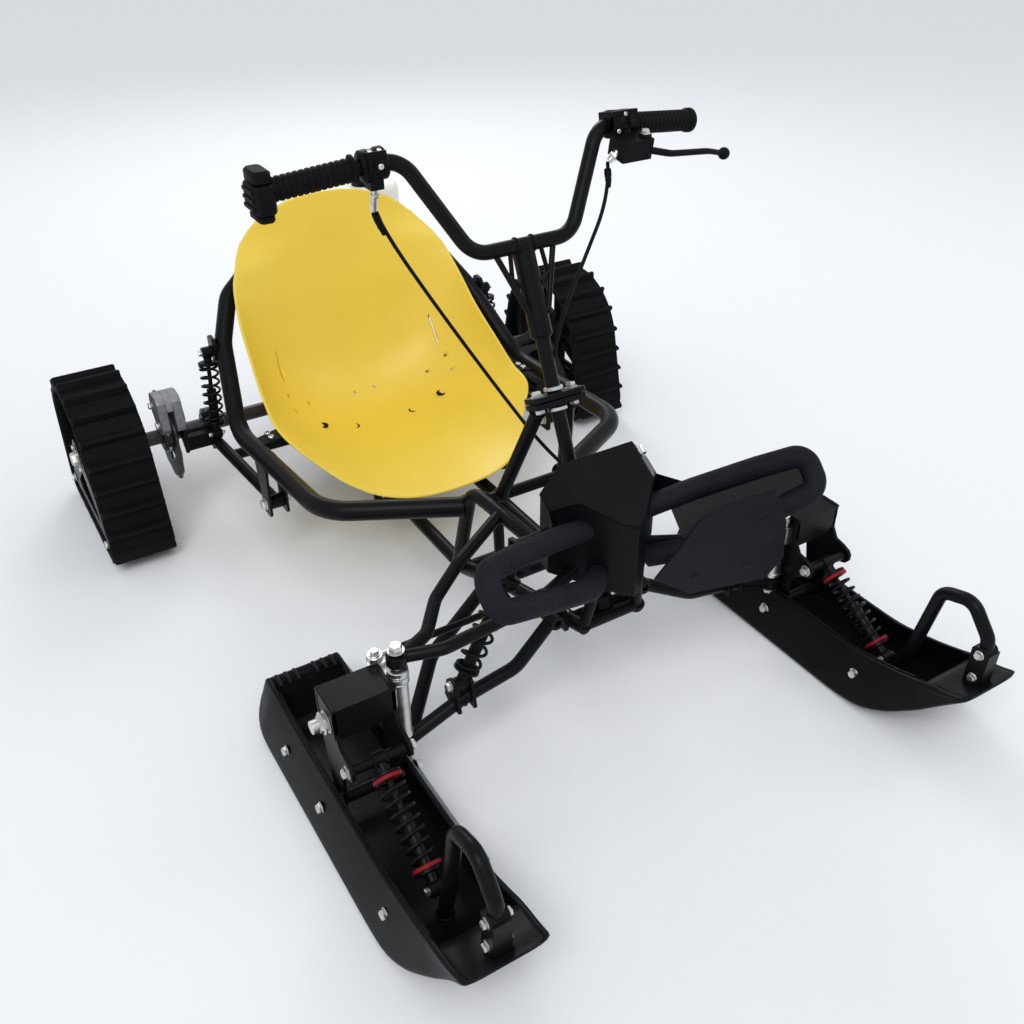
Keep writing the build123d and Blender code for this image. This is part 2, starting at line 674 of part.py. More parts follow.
# handlebar and stem
bar_low = (85.0, -124.0, 706.0)
bar_high = (165.0, -68.0, 842.0)
bar_end = (356.0, -51.0, 822.0)
bar_path = [(-bar_end[0], bar_end[1], bar_end[2]), (-bar_high[0], bar_high[1], bar_high[2]),
            (-bar_low[0], bar_low[1], bar_low[2]), bar_low, bar_high, bar_end]
with BuildPart() as handlebar:
    add(bent_tube(bar_path, [45, 45, 45, 45], bar_radius))
handlebar.part.label = "handlebar"
export_step(handlebar.part, "parts/handlebar.step")

pitman_origin = column_point(pitman_z)
column_end = column_point(column_foot_z) + Vector(*rake_dir) * -4
with BuildPart() as stem:
    add(rod(tuple(column_end), tuple(column_point(640)), column_radius))
    add(rod(tuple(column_point(580)), tuple(column_point(708)), sleeve_radius))
    with BuildSketch(Plane(origin=pitman_origin, x_dir=(1, 0, 0), z_dir=rake_dir)):
        with BuildLine():
            Polyline((-16, -16), (16, -16), (pitman_half + 12, pitman_reach - 6),
                     (pitman_half + 6, pitman_reach + 11), (-pitman_half - 6, pitman_reach + 11),
                     (-pitman_half - 12, pitman_reach - 6), close=True)
        make_face()
    extrude(amount=3, both=True)
    for side, tag in sides:
        foot = pitman_origin + Vector(*rake_side) * pitman_reach + Vector(side * pitman_half, 0, 0)
        ball = foot + Vector(*rake_dir) * ball_lift
        add(rod(tuple(foot), tuple(ball), 4.5))
        with Locations(tuple(ball)):
            Sphere(8)
        add(rod((side * 52, -124, 706), (side * 15, -170, 612), 4))
        add(rod((side * 26, -128, 704), (side * 32, -146, 656), 3))
        add(rod((side * 42, -140, 676), (side * 16, -150, 650), 3))
    add(handlebar.part, mode=Mode.SUBTRACT)
stem.part.label = "stem"
export_step(stem.part, "parts/stem.step")

# grips, controls
grips = {}
grip_dir = (Vector(*bar_end) - Vector(*bar_high)).normalized()
for side, tag in sides:
    start = Vector(*bar_end) - grip_dir * 128
    stop = Vector(*bar_end) + grip_dir * 4
    with BuildPart() as grip:
        add(rod((side * start.X, start.Y, start.Z), (side * stop.X, stop.Y, stop.Z), 16.5))
        if side < 0:
            with Locations((-362, -46, 812)):
                Box(30, 56, 84)
        add(handlebar.part, mode=Mode.SUBTRACT)
    grips[tag] = grip.part
    grip.part.label = "grip_" + tag
    export_step(grip.part, "parts/grip_" + tag + ".step")

throttle_at = Vector(-204, -64.5, 838)
with BuildPart() as throttle_housing:
    add(rod((-222, -63, 836), (-186, -66, 840), 21))
    with Locations((-204, -74, 846)):
        Box(34, 34, 46)
    with Locations((-204, -66, 812)):
        Box(22, 26, 26)
    add(rod((-202, -62, 806), (-200, -50, 776), 5))
    add(handlebar.part, mode=Mode.SUBTRACT)
throttle_housing.part.label = "throttle_housing"
export_step(throttle_housing.part, "parts/throttle_housing.step")

with BuildPart() as left_controls:
    add(rod((184, -66, 840), (226, -62, 836), 20))
    with Locations((203, -68, 850)):
        Box(46, 40, 34)
    with Locations((208, -96, 812)):
        Box(54, 44, 34)
    add(rod((184, -96, 806), (170, -92, 792), 6))
    add(bent_tube([(226, -108, 806), (262, -128, 800), (330, -136, 796), (360, -134, 788)], [30, 60], 6))
    with Locations((364, -134, 787)):
        Sphere(9)
    add(handlebar.part, mode=Mode.SUBTRACT)
    add(grips["left"], mode=Mode.SUBTRACT)
left_controls.part.label = "left_controls"
export_step(left_controls.part, "parts/left_controls.step")

# cables held by the bar and the column
throttle_route = [(-200, -50, 776), (-180, -22, 736), (-98, -36, 592), (-18, -138, 432), (-4, -210, 394),
                  (0, -258, 388)]
with BuildPart() as throttle_cable:
    add(bent_tube(throttle_route, [40, 120, 90, 60], 2.6))
    add(throttle_housing.part, mode=Mode.SUBTRACT)
    add(stem.part, mode=Mode.SUBTRACT)
throttle_cable.part.label = "throttle_cable"
export_step(throttle_cable.part, "parts/throttle_cable.step")

brake_route = [(170, -92, 792), (150, -128, 756), (76, -168, 676), (20, -186, 590), (10, -194, 540)]
with BuildPart() as brake_cable:
    add(bent_tube(brake_route, [40, 120, 90], 2.6))
    add(left_controls.part, mode=Mode.SUBTRACT)
    add(stem.part, mode=Mode.SUBTRACT)
brake_cable.part.label = "brake_cable"
export_step(brake_cable.part, "parts/brake_cable.step")

# tie rods from the pitman balls; each turns about an axis that keeps its outer end over the steering arm
tie_axis_lean = 0.0596
for side, tag in sides:
    foot = pitman_origin + Vector(*rake_side) * pitman_reach + Vector(side * pitman_half, 0, 0)
    ball = foot + Vector(*rake_dir) * ball_lift
    outer = Vector(side * arm_pin_x, arm_pin_y, tie_height)
    run = (outer - ball).normalized()
    turn_axis = Vector(-side * tie_axis_lean, 0.446, 0.893)
    with BuildPart() as tie_rod:
        with BuildSketch(Plane(origin=ball, z_dir=turn_axis)):
            Circle(12.5)
        extrude(amount=5, both=True)
        add(rod(tuple(ball + run * 10), tuple(outer), 5.5))
        with BuildSketch(Plane.XY.offset(tie_height - 6)):
            with Locations((side * arm_pin_x, arm_pin_y)):
                Circle(12)
        extrude(amount=12)
        with Locations(tuple(ball)):
            Sphere(8.4, mode=Mode.SUBTRACT)
    tie_rod.part.label = "tie_rod_" + tag
    export_step(tie_rod.part, "parts/tie_rod_" + tag + ".step")

# knuckles, ski legs, dampers, loops and skis
ski_profile = [(ski_heel_y, 96), (ski_heel_y + 5, 60), (ski_heel_y - 9, 24), (ski_heel_y - 47, 3),
               (ski_heel_y - 75, 0), (ski_tip_y + 220, 0), (ski_tip_y + 160, 8), (ski_tip_y + 110, 30),
               (ski_tip_y + 65, 66), (ski_tip_y + 28, 104), (ski_tip_y, 132), (ski_tip_y + 2, 140),
               (ski_tip_y + 40, 124), (ski_tip_y + 80, 116), (ski_tip_y + 140, 96),
               (ski_tip_y + 220, ski_rim_height), (ski_heel_y - 115, ski_rim_height), (ski_heel_y - 35, 92)]
tub_profile = [(ski_heel_y - 25, 200), (ski_heel_y - 21, 60), (ski_heel_y - 43, ski_floor),
               (ski_tip_y + 220, ski_floor), (ski_tip_y + 162, 22), (ski_tip_y + 120, 46),
               (ski_tip_y + 88, 90), (ski_tip_y + 80, 200)]
loop_front = ski_tip_y + 31
for side, tag in sides:
    middle = side * ski_x
    with BuildPart() as knuckle:
        with BuildSketch(Plane.XY.offset(84)):
            with Locations((side * kingpin_x, kingpin_y)):
                Circle(kingpin_radius)
        extrude(amount=190)
        with BuildSketch(Plane.XY.offset(knuckle_low + 2)):
            with Locations((side * kingpin_x, kingpin_y)):
                Circle(14)
        extrude(amount=knuckle_high - knuckle_low - 4)
        for cap_z, cap_height in ((82.5, 5), (273, 8)):
            with BuildSketch(Plane.XY.offset(cap_z)):
                with Locations((side * kingpin_x, kingpin_y)):
                    RegularPolygon(11, 6)
            extrude(amount=cap_height)
        add(rod((side * kingpin_x, kingpin_y, stub_height), (side * 496, kingpin_y, stub_height), stub_radius))
        add(rod((side * 479, kingpin_y, stub_height), (side * 490, kingpin_y, stub_height), 17))
        with BuildSketch(Plane.XY.offset(222)):
            with Locations((side * arm_pin_x, arm_pin_y)):
                Circle(12)
            with Locations((side * kingpin_x, kingpin_y)):
                Circle(13)
            make_hull()
        extrude(amount=8)
    knuckle.part.label = "knuckle_" + tag
    export_step(knuckle.part, "parts/knuckle_" + tag + ".step")

    with BuildPart() as ski_leg:
        for x_from, x_to in ((-46, -40), (40, 46)):
            with BuildSketch(Plane.YZ.offset(middle + x_from)):
                with BuildLine():
                    Polyline((-394, 231), (-344, 231), (-344, 165), (-366, 60), (-369, 38), (-382, 30),
                             (-395, 38), (-398, 60), (-402, 120), (-424, 134), (-444, 140), (-446, 158),
                             (-432, 168), (-408, 172), (-394, 190), close=True)
                make_face()
            extrude(amount=6)
        with Locations((middle, -369, 226)):
            Box(92, 50, 10)
        with Locations((middle + side * 1.5, -369, 198)):
            Box(95, 44, 48)
        add(rod((middle - 82, leg_bolt_y, ski_bolt_height), (middle + 82, leg_bolt_y, ski_bolt_height), 6))
        for head in (-84, 76):
            add(rod((middle + head, leg_bolt_y, ski_bolt_height), (middle + head + 8, leg_bolt_y, ski_bolt_height), 11))
        add(rod((middle - 40, leg_bolt_y, ski_bolt_height), (middle + 40, leg_bolt_y, ski_bolt_height), 10))
        add(knuckle.part, mode=Mode.SUBTRACT)
    ski_leg.part.label = "ski_leg_" + tag
    export_step(ski_leg.part, "parts/ski_leg_" + tag + ".step")

    with BuildPart() as ski_shock:
        add(coil_over((middle, shock_bolt_y, ski_bolt_height + 5), (middle, -432, 151), 21, 7, 11, 12, 7))
        add(rod((middle - 40, -432, 151), (middle + 40, -432, 151), 6))
        add(rod((middle - 80, shock_bolt_y, ski_bolt_height + 5), (middle + 80, shock_bolt_y, ski_bolt_height + 5), 6))
        for head in (-82, 74):
            add(rod((middle + head, shock_bolt_y, ski_bolt_height + 5),
                    (middle + head + 8, shock_bolt_y, ski_bolt_height + 5), 11))
        add(ski_leg.part, mode=Mode.SUBTRACT)
    ski_shock.part.label = "ski_shock_" + tag
    export_step(ski_shock.part, "parts/ski_shock_" + tag + ".step")

    with BuildPart() as ski_loop:
        add(bent_tube([(middle, loop_front + 139, 18), (middle, loop_front + 115, 115),
                       (middle, loop_front + 93, 238), (middle, loop_front + 41, 254),
                       (middle, loop_front + 1, 208), (middle, loop_front - 1, 108)],
                      [60, 26, 26, 26], loop_radius))
        with Locations((middle, loop_front, 160)):
            Box(26, 30, 92)
        for level in (140, 184):
            add(rod((middle - 20, loop_front, level), (middle + 20, loop_front, level), 6))
    ski_loop.part.label = "ski_loop_" + tag
    export_step(ski_loop.part, "parts/ski_loop_" + tag + ".step")

    with BuildPart() as tub:
        with BuildSketch(Plane.YZ.offset(middle - 120)):
            with BuildLine():
                Polyline(*tub_profile, close=True)
            make_face()
        extrude(amount=240)
        with BuildSketch(Plane.XZ):
            with BuildLine():
                Polyline((middle - ski_bottom_half + ski_wall + 6, 0), (middle + ski_bottom_half - ski_wall - 6, 0),
                         (middle + ski_rim_half - ski_wall, ski_rim_height),
                         (middle + ski_rim_half - ski_wall, 210), (middle - ski_rim_half + ski_wall, 210),
                         (middle - ski_rim_half + ski_wall, ski_rim_height), close=True)
            make_face()
        extrude(amount=900, mode=Mode.INTERSECT)

    with BuildPart() as ski:
        with BuildSketch(Plane.YZ.offset(middle - 120)):
            with BuildLine():
                Polyline(*ski_profile, close=True)
            make_face()
        extrude(amount=240)
        with BuildSketch(Plane.XZ):
            with BuildLine():
                Polyline((middle - ski_bottom_half + 3, 0), (middle + ski_bottom_half - 3, 0),
                         (middle + ski_bottom_half, 6), (middle + ski_rim_half, ski_rim_height),
                         (middle + ski_rim_half + 5, 200), (middle - ski_rim_half - 5, 200),
                         (middle - ski_rim_half, ski_rim_height), (middle - ski_bottom_half, 6), close=True)
            make_face()
        extrude(amount=900, mode=Mode.INTERSECT)
        add(tub.part, mode=Mode.SUBTRACT)
        add(ski_leg.part, mode=Mode.SUBTRACT)
        add(ski_shock.part, mode=Mode.SUBTRACT)
        add(ski_loop.part, mode=Mode.SUBTRACT)
    ski.part.label = "ski_" + tag
    export_step(ski.part, "parts/ski_" + tag + ".step")
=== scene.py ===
import math
import bpy
from bpy.props import FloatProperty, FloatVectorProperty, IntProperty, PointerProperty
from mathutils import Matrix, Vector


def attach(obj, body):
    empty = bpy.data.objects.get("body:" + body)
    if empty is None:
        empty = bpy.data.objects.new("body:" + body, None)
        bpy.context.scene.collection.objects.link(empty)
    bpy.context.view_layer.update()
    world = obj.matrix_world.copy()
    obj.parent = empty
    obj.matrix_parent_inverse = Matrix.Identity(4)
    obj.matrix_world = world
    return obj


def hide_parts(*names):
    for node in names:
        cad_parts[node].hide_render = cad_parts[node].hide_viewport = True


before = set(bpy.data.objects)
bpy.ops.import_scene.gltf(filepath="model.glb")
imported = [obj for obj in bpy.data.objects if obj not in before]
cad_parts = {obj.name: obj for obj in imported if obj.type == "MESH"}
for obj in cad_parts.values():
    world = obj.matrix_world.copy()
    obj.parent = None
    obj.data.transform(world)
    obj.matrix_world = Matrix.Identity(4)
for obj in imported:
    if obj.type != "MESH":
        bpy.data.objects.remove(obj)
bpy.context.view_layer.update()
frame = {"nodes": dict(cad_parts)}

bl_info = {
    "name": "Tracked snow kart",
    "version": (1, 0, 0),
    "blender": (4, 5, 0),
    "location": "3D View > Sidebar > Snow kart",
    "description": "Dresses the packed snow kart with its visible pieces and finishes",
    "category": "Object",
}

MM = 0.001
SIDES = ((1, "left"), (-1, "right"))


# Shader building

class Wire:
    """A node socket that can be used in a sum, so shader maths reads as maths."""

    def __init__(self, graph, socket):
        self.graph = graph
        self.socket = socket

    def _do(self, operation, a, b):
        node = self.graph.tree.nodes.new("ShaderNodeMath")
        node.operation = operation
        for index, value in enumerate((a, b)):
            if isinstance(value, Wire):
                self.graph.tree.links.new(value.socket, node.inputs[index])
            else:
                node.inputs[index].default_value = value
        return Wire(self.graph, node.outputs[0])

    def __add__(self, other):
        return self._do("ADD", self, other)

    def __radd__(self, other):
        return self._do("ADD", other, self)

    def __sub__(self, other):
        return self._do("SUBTRACT", self, other)

    def __rsub__(self, other):
        return self._do("SUBTRACT", other, self)

    def __mul__(self, other):
        return self._do("MULTIPLY", self, other)

    def __rmul__(self, other):
        return self._do("MULTIPLY", other, self)


class Graph:
    """One material and the few nodes its finish needs."""

    def __init__(self, name):
        self.material = bpy.data.materials.new(name)
        self.material.use_nodes = True
        self.tree = self.material.node_tree
        self.shader = self.tree.nodes["Principled BSDF"]
        coordinates = self.tree.nodes.new("ShaderNodeTexCoord")
        self.place = coordinates.outputs["Object"]

    def node(self, kind, settings=None, **values):
        made = self.tree.nodes.new(kind)
        for key, value in (settings or {}).items():
            if key == "stops":
                ramp = made.color_ramp
                while len(ramp.elements) < len(value):
                    ramp.elements.new(0.5)
                for element, (position, colour) in zip(ramp.elements, value):
                    element.position = position
                    element.color = (*colour, 1.0) if len(colour) == 3 else colour
            else:
                setattr(made, key, value)
        for key, value in values.items():
            socket = made.inputs[key.replace("_", " ")] if isinstance(key, str) else made.inputs[key]
            if isinstance(value, Wire):
                self.tree.links.new(value.socket, socket)
            elif isinstance(value, bpy.types.NodeSocket):
                self.tree.links.new(value, socket)
            else:
                socket.default_value = value
        return made

    def noise(self, scale, detail=4.0, roughness=0.55, stretch=None):
        vector = self.place
        if stretch is not None:
            mapping = self.node("ShaderNodeMapping", Vector=self.place, Scale=stretch)
            vector = mapping.outputs[0]
        made = self.node("ShaderNodeTexNoise", Vector=vector, Scale=scale, Detail=detail, Roughness=roughness)
        return Wire(self, made.outputs[0])

    def speckle(self, scale):
        made = self.node("ShaderNodeTexVoronoi", Vector=self.place, Scale=scale)
        return Wire(self, made.outputs["Distance"])

    def ramp(self, value, stops):
        made = self.node("ShaderNodeValToRGB", {"stops": stops}, Fac=value)
        return made.outputs[0]

    def mix(self, factor, first, second):
        made = self.tree.nodes.new("ShaderNodeMix")
        made.data_type = "RGBA"
        for index, value in ((0, factor), (6, first), (7, second)):
            socket = made.inputs[index]
            if isinstance(value, Wire):
                self.tree.links.new(value.socket, socket)
            elif isinstance(value, bpy.types.NodeSocket):
                self.tree.links.new(value, socket)
            elif index:
                socket.default_value = (*value, 1.0)
            else:
                socket.default_value = value
        return made.outputs[2]

    def feed(self, socket, value):
        target = self.shader.inputs[socket]
        if isinstance(value, Wire):
            self.tree.links.new(value.socket, target)
        elif isinstance(value, bpy.types.NodeSocket):
            self.tree.links.new(value, target)
        elif isinstance(value, tuple):
            target.default_value = (*value, 1.0)
        else:
            target.default_value = value

    def bump(self, height, strength, distance=0.001):
        made = self.node("ShaderNodeBump", Height=height, Strength=strength, Distance=distance)
        self.feed("Normal", made.outputs[0])


def shade(colour, factor):
    return tuple(min(1.0, c * factor) for c in colour)


def coated_steel(name, colour):
    """Satin powder coat: fine orange peel, a little dust in broad patches."""
    g = Graph(name)
    broad = g.noise(9.0, 5.0)
    fine = g.noise(420.0, 2.0)
    tones = [(0.30, colour), (0.62, shade(colour, 1.3)), (0.80, shade(colour, 1.9))]
    g.feed("Base Color", g.ramp(broad, tones))
    g.feed("Roughness", 0.27 + broad * 0.14)
    g.shader.inputs["Specular IOR Level"].default_value = 0.10
    g.bump(fine, 0.08, 0.0006)
    return g.material


def moulded_seat(name, colour):
    """Thick coloured plastic: even colour, soft gloss, a pebbled mould texture and faint scuffs."""
    g = Graph(name)
    broad = g.noise(4.0, 3.0)
    scuff = g.noise(26.0, 8.0, 0.7, (1.0, 0.25, 1.0))
    grain = g.noise(700.0, 2.0)
    base = g.ramp(broad, [(0.25, shade(colour, 0.94)), (0.55, colour), (0.85, shade(colour, 1.06))])
    g.feed("Base Color", g.mix((scuff - 0.60) * 1.4, base, shade(colour, 0.80)))
    g.feed("Roughness", 0.36 + scuff * 0.18)
    g.shader.inputs["Coat Weight"].default_value = 0.12
    g.shader.inputs["Coat Roughness"].default_value = 0.25
    g.bump(grain, 0.10, 0.0005)
    return g.material


def moulded_plastic(name, colour, gloss, grain_size, shine=0.07):
    """Black moulded plastic or rubber with a fine grain and rubbed patches."""
    g = Graph(name)
    broad = g.noise(14.0, 6.0, 0.62)
    grain = g.noise(grain_size, 3.0)
    tones = [(0.28, colour), (0.60, shade(colour, 1.4)), (0.82, shade(colour, 2.2))]
    g.feed("Base Color", g.ramp(broad, tones))
    g.feed("Roughness", gloss + broad * 0.20)
    g.shader.inputs["Specular IOR Level"].default_value = shine
    g.bump(grain, 0.18, 0.0006)
    return g.material


def foam_sleeve(name, colour):
    """Closed-cell sleeve over a tube: matt, dimpled."""
    g = Graph(name)
    cells = g.speckle(260.0)
    broad = g.noise(11.0, 4.0)
    g.feed("Base Color", g.ramp(broad, [(0.3, colour), (0.7, shade(colour, 2.0))]))
    g.feed("Roughness", 0.52 + cells * 0.3)
    g.shader.inputs["Specular IOR Level"].default_value = 0.10
    g.bump(cells, 0.22, 0.0006)
    return g.material


def plated_steel(name, colour, roughness):
    """Zinc plate or bare steel: metal with fine rubbed lines and mottled dullness."""
    g = Graph(name)
    mottle = g.noise(60.0, 6.0, 0.65)
    lines = g.noise(500.0, 3.0, 0.5, (1.0, 1.0, 0.08))
    tones = [(0.3, shade(colour, 0.72)), (0.6, colour), (0.85, shade(colour, 1.12))]
    g.feed("Base Color", g.ramp(mottle, tones))
    g.feed("Metallic", 1.0)
    g.feed("Roughness", roughness + mottle * 0.18 + lines * 0.06)
    g.bump(lines, 0.08, 0.0004)
    return g.material


def blown_tank(name, colour):
    """Pale blown plastic, slightly waxy."""
    g = Graph(name)
    broad = g.noise(7.0, 3.0)
    fine = g.noise(220.0, 3.0)
    g.feed("Base Color", g.ramp(broad, [(0.3, shade(colour, 0.92)), (0.7, colour)]))
    g.feed("Roughness", 0.42 + broad * 0.15)
    g.shader.inputs["Subsurface Weight"].default_value = 0.08
    g.bump(fine, 0.08, 0.0005)
    return g.material


# Mesh building

def frame_along(direction):
    """Two unit vectors across a direction."""
    axis = Vector(direction).normalized()
    guide = Vector((0, 0, 1)) if abs(axis.z) < 0.9 else Vector((0, 1, 0))
    side = axis.cross(guide).normalized()
    return side, axis.cross(side).normalized()


def around(centre, side, other, radius, count):
    """Points of a circle in the plane of two unit vectors."""
    return [centre + (side * math.cos(a) + other * math.sin(a)) * radius
            for a in (math.tau * k / count for k in range(count))]


def rounded_run(points, bends, step=9.0):
    """Tube centre line: straight runs joined by arcs, the bends given one for each inner point."""
    corners = [Vector(p) for p in points]
    if isinstance(bends, (int, float)):
        bends = [bends] * (len(corners) - 2)
    line = [corners[0]]
    for number in range(1, len(corners) - 1):
        before = (corners[number - 1] - corners[number]).normalized()
        after = (corners[number + 1] - corners[number]).normalized()
        opening = before.angle(after)
        if opening > math.pi - 0.01:
            line.append(corners[number])
            continue
        reach = bends[number - 1] / math.tan(opening / 2)
        centre = corners[number] + (before + after).normalized() * (bends[number - 1] / math.sin(opening / 2))
        start = corners[number] + before * reach - centre
        stop = corners[number] + after * reach - centre
        turn = start.angle(stop)
        count = max(3, int(math.degrees(turn) / step))
        normal = start.cross(stop).normalized()
        for part in range(count + 1):
            line.append(centre + Matrix.Rotation(turn * part / count, 3, normal) @ start)
    line.append(corners[-1])
    return line


class Shape:
    """Collects the points and faces of one piece, in millimetres."""

    def __init__(self):
        self.points = []
        self.faces = []

    def loft(self, rings, closed_ends=True, closed_loop=False):
        base = len(self.points)
        count = len(rings[0])
        for ring in rings:
            self.points.extend(Vector(p) for p in ring)
        total = len(rings)
        for row in range(total if closed_loop else total - 1):
            following = (row + 1) % total
            for col in range(count):
                a = base + row * count + col
                b = base + row * count + (col + 1) % count
                c = base + following * count + (col + 1) % count
                d = base + following * count + col
                self.faces.append((a, b, c, d))
        if closed_ends and not closed_loop:
            self.faces.append(tuple(base + col for col in reversed(range(count))))
            last = base + (total - 1) * count
            self.faces.append(tuple(last + col for col in range(count)))
        return self

    def tube(self, line, radius, sides=20, closed_loop=False, edge=1.0):
        line = [Vector(p) for p in line]
        radii = radius if isinstance(radius, (list, tuple)) else [radius] * len(line)
        if not closed_loop and edge > 0:
            first = (line[1] - line[0]).normalized()
            last = (line[-1] - line[-2]).normalized()
            line = [line[0], line[0] + first * edge] + line[1:-1] + [line[-1] - last * edge, line[-1]]
            radii = [radii[0] - edge, radii[0]] + list(radii[1:-1]) + [radii[-1], radii[-1] - edge]
        rings = []
        side = None
        total = len(line)
        for number, spot in enumerate(line):
            if closed_loop:
                heading = (line[(number + 1) % total] - line[number - 1]).normalized()
            else:
                heading = (line[min(number + 1, total - 1)] - line[max(number - 1, 0)]).normalized()
            if side is None:
                side, _ = frame_along(heading)
            side = (side - heading * side.dot(heading)).normalized()
            other = heading.cross(side)
            rings.append(around(spot, side, other, radii[number], sides))
        return self.loft(rings, True, closed_loop)

    def lathe(self, start, stop, profile, sides=32):
        """Turned solid: profile points are (radius, distance from start) along start to stop."""
        start, stop = Vector(start), Vector(stop)
        axis = (stop - start).normalized()
        side, other = frame_along(axis)
        return self.loft([around(start + axis * along, side, other, max(radius, 0.01), sides)
                          for radius, along in profile])

    def rod(self, start, stop, radius, sides=24, edge=0.8):
        length = (Vector(stop) - Vector(start)).length
        edge = min(edge, radius * 0.4, length * 0.4)
        return self.lathe(start, stop, [(radius - edge, 0), (radius, edge), (radius, length - edge),
                                        (radius - edge, length)], sides)

    def ring(self, start, stop, outer, inner, sides=36, edge=0.8):
        """A washer, eye or tyre-like band with a real hole."""
        start, stop = Vector(start), Vector(stop)
        length = (stop - start).length
        axis = (stop - start).normalized()
        side, other = frame_along(axis)
        profile = ((inner, 0), (outer - edge, 0), (outer, edge), (outer, length - edge),
                   (outer - edge, length), (inner, length))
        return self.loft([around(start + axis * along, side, other, radius, sides)
                          for radius, along in profile], False, True)

    def prism(self, outline, depth):
        """A flat plate: its outline as points, and the vector of its thickness."""
        depth = Vector(depth)
        return self.loft([[Vector(p) for p in outline], [Vector(p) + depth for p in outline]])

    def plate(self, x, outline, width):
        """A flat plate square to the X axis: its outline as (y, z) points."""
        return self.prism([(x, y, z) for y, z in outline], (width, 0, 0))

    def spokes(self, count, hub, outline, width, phase=0.0):
        """Flat arms round an axle along X: the outline of one as (outward, sideways) points."""
        for k in range(count):
            a = math.tau * (k + phase) / count
            radial = Vector((0, math.cos(a), math.sin(a)))
            cross = Vector((0, -math.sin(a), math.cos(a)))
            self.prism([Vector(hub) + radial * r + cross * c for r, c in outline], (width, 0, 0))

    def box(self, centre, size, turn=None):
        centre = Vector(centre)
        half = Vector(size) / 2
        corners = [Vector((x * half.x, y * half.y, -half.z)) for x, y in ((-1, -1), (1, -1), (1, 1), (-1, 1))]
        if turn is not None:
            low = [centre + turn @ c for c in corners]
            high = [centre + turn @ (c + Vector((0, 0, 2 * half.z))) for c in corners]
        else:
            low = [centre + c for c in corners]
            high = [centre + c + Vector((0, 0, 2 * half.z)) for c in corners]
        return self.loft([low, high])

    def ball(self, centre, radius, sides=24, squash=1.0):
        rings = []
        for row in range(1, 12):
            angle = math.pi * row / 12
            rings.append([(centre[0] + radius * math.sin(angle) * math.cos(a),
                           centre[1] + radius * math.sin(angle) * math.sin(a),
                           centre[2] - radius * squash * math.cos(angle))
                          for a in (math.tau * k / sides for k in range(sides))])
        return self.loft(rings)

    def hex_bolt(self, seat, direction, across, washer=True):
        """Washer and chamfered hexagon head standing on a face, pointing along direction."""
        axis = Vector(direction).normalized()
        seat = Vector(seat)
        radius = across / math.sqrt(3)
        if washer:
            self.rod(seat, seat + axis * 1.4, across * 0.72, 28, 0.4)
            seat = seat + axis * 1.4
        side, other = frame_along(axis)
        height = across * 0.5
        return self.loft([around(seat + axis * along, side, other, radius * scale, 6)
                          for scale, along in ((0.96, 0), (1.0, 0.4), (1.0, height * 0.8), (0.86, height))])

    def bolt_pair(self, middle, half, y, z, across):
        """Two bolts on the outer faces of a part whose half width along X is given."""
        for way in (1, -1):
            self.hex_bolt((middle + way * half, y, z), (way, 0, 0), across)

    def socket_screw(self, seat, direction, radius):
        """Round head with a recessed socket."""
        axis = Vector(direction).normalized()
        seat = Vector(seat)
        return self.lathe(seat, seat + axis, [(radius * 0.9, 0), (radius, 0.6), (radius, radius * 0.8),
                                              (radius * 0.82, radius), (radius * 0.5, radius),
                                              (radius * 0.46, radius * 0.4), (0, radius * 0.36)], 24)

    def weld(self, centre, axis, radius, bead=2.2, sides=40):
        """A rippled bead round a tube."""
        side, other = frame_along(axis)
        line = []
        for k in range(sides):
            a = math.tau * k / sides
            ripple = radius + 0.4 * (k % 2)
            line.append(Vector(centre) + (side * math.cos(a) + other * math.sin(a)) * ripple)
        return self.tube(line, bead, 8, True)

    def coil(self, start, stop, radius, wire, turns, steps=22):
        """A helical spring whose end turns lie flat."""
        start, stop = Vector(start), Vector(stop)
        axis = (stop - start).normalized()
        length = (stop - start).length
        side, other = frame_along(axis)
        total = int((turns + 1.6) * steps)
        line = []
        for k in range(total + 1):
            turn = k / steps
            if turn < 0.8:
                along = wire + turn * wire * 0.9
            elif turn > turns + 0.8:
                along = length - wire - (turns + 1.6 - turn) * wire * 0.9
            else:
                low = wire + 0.8 * wire * 0.9
                along = low + (length - 2 * low) * (turn - 0.8) / turns
            a = math.tau * turn
            line.append(start + axis * along + (side * math.cos(a) + other * math.sin(a)) * (radius - wire))
        return self.tube(line, wire, 10, False, 0.3)

    def make(self, name, finish, slot, body, replaces=(), bevel=0.0, sharp=40.0):
        """Puts the piece into the scene with its finish, on its body of the frame."""
        mesh = bpy.data.meshes.new(name)
        mesh.from_pydata([tuple(p * MM) for p in self.points], [], self.faces)
        mesh.validate()
        piece = bpy.data.objects.new(name, mesh)
        bpy.context.scene.collection.objects.link(piece)
        mesh.shade_smooth()
        mesh.set_sharp_from_angle(angle=math.radians(sharp))
        mesh.materials.append(finishes[finish])
        if bevel:
            edge = piece.modifiers.new("edge", "BEVEL")
            edge.width = bevel * MM
            edge.segments = 2
            edge.limit_method = "ANGLE"
            edge.angle_limit = math.radians(35)
            edge.harden_normals = False
        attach(piece, body)
        if replaces:
            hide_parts(*replaces)
        return piece


def mirrored(points, side):
    return [(side * x, y, z) for x, y, z in points]


# Sizes and colours that a user would change

def size(name, description, default, low=0.1, high=500.0):
    return FloatProperty(name=name, description=description, default=default, min=low, max=high)


def colour(name, description, default):
    return FloatVectorProperty(name=name, description=description, default=default, size=3, min=0.0, max=1.0,
                               subtype="COLOR")


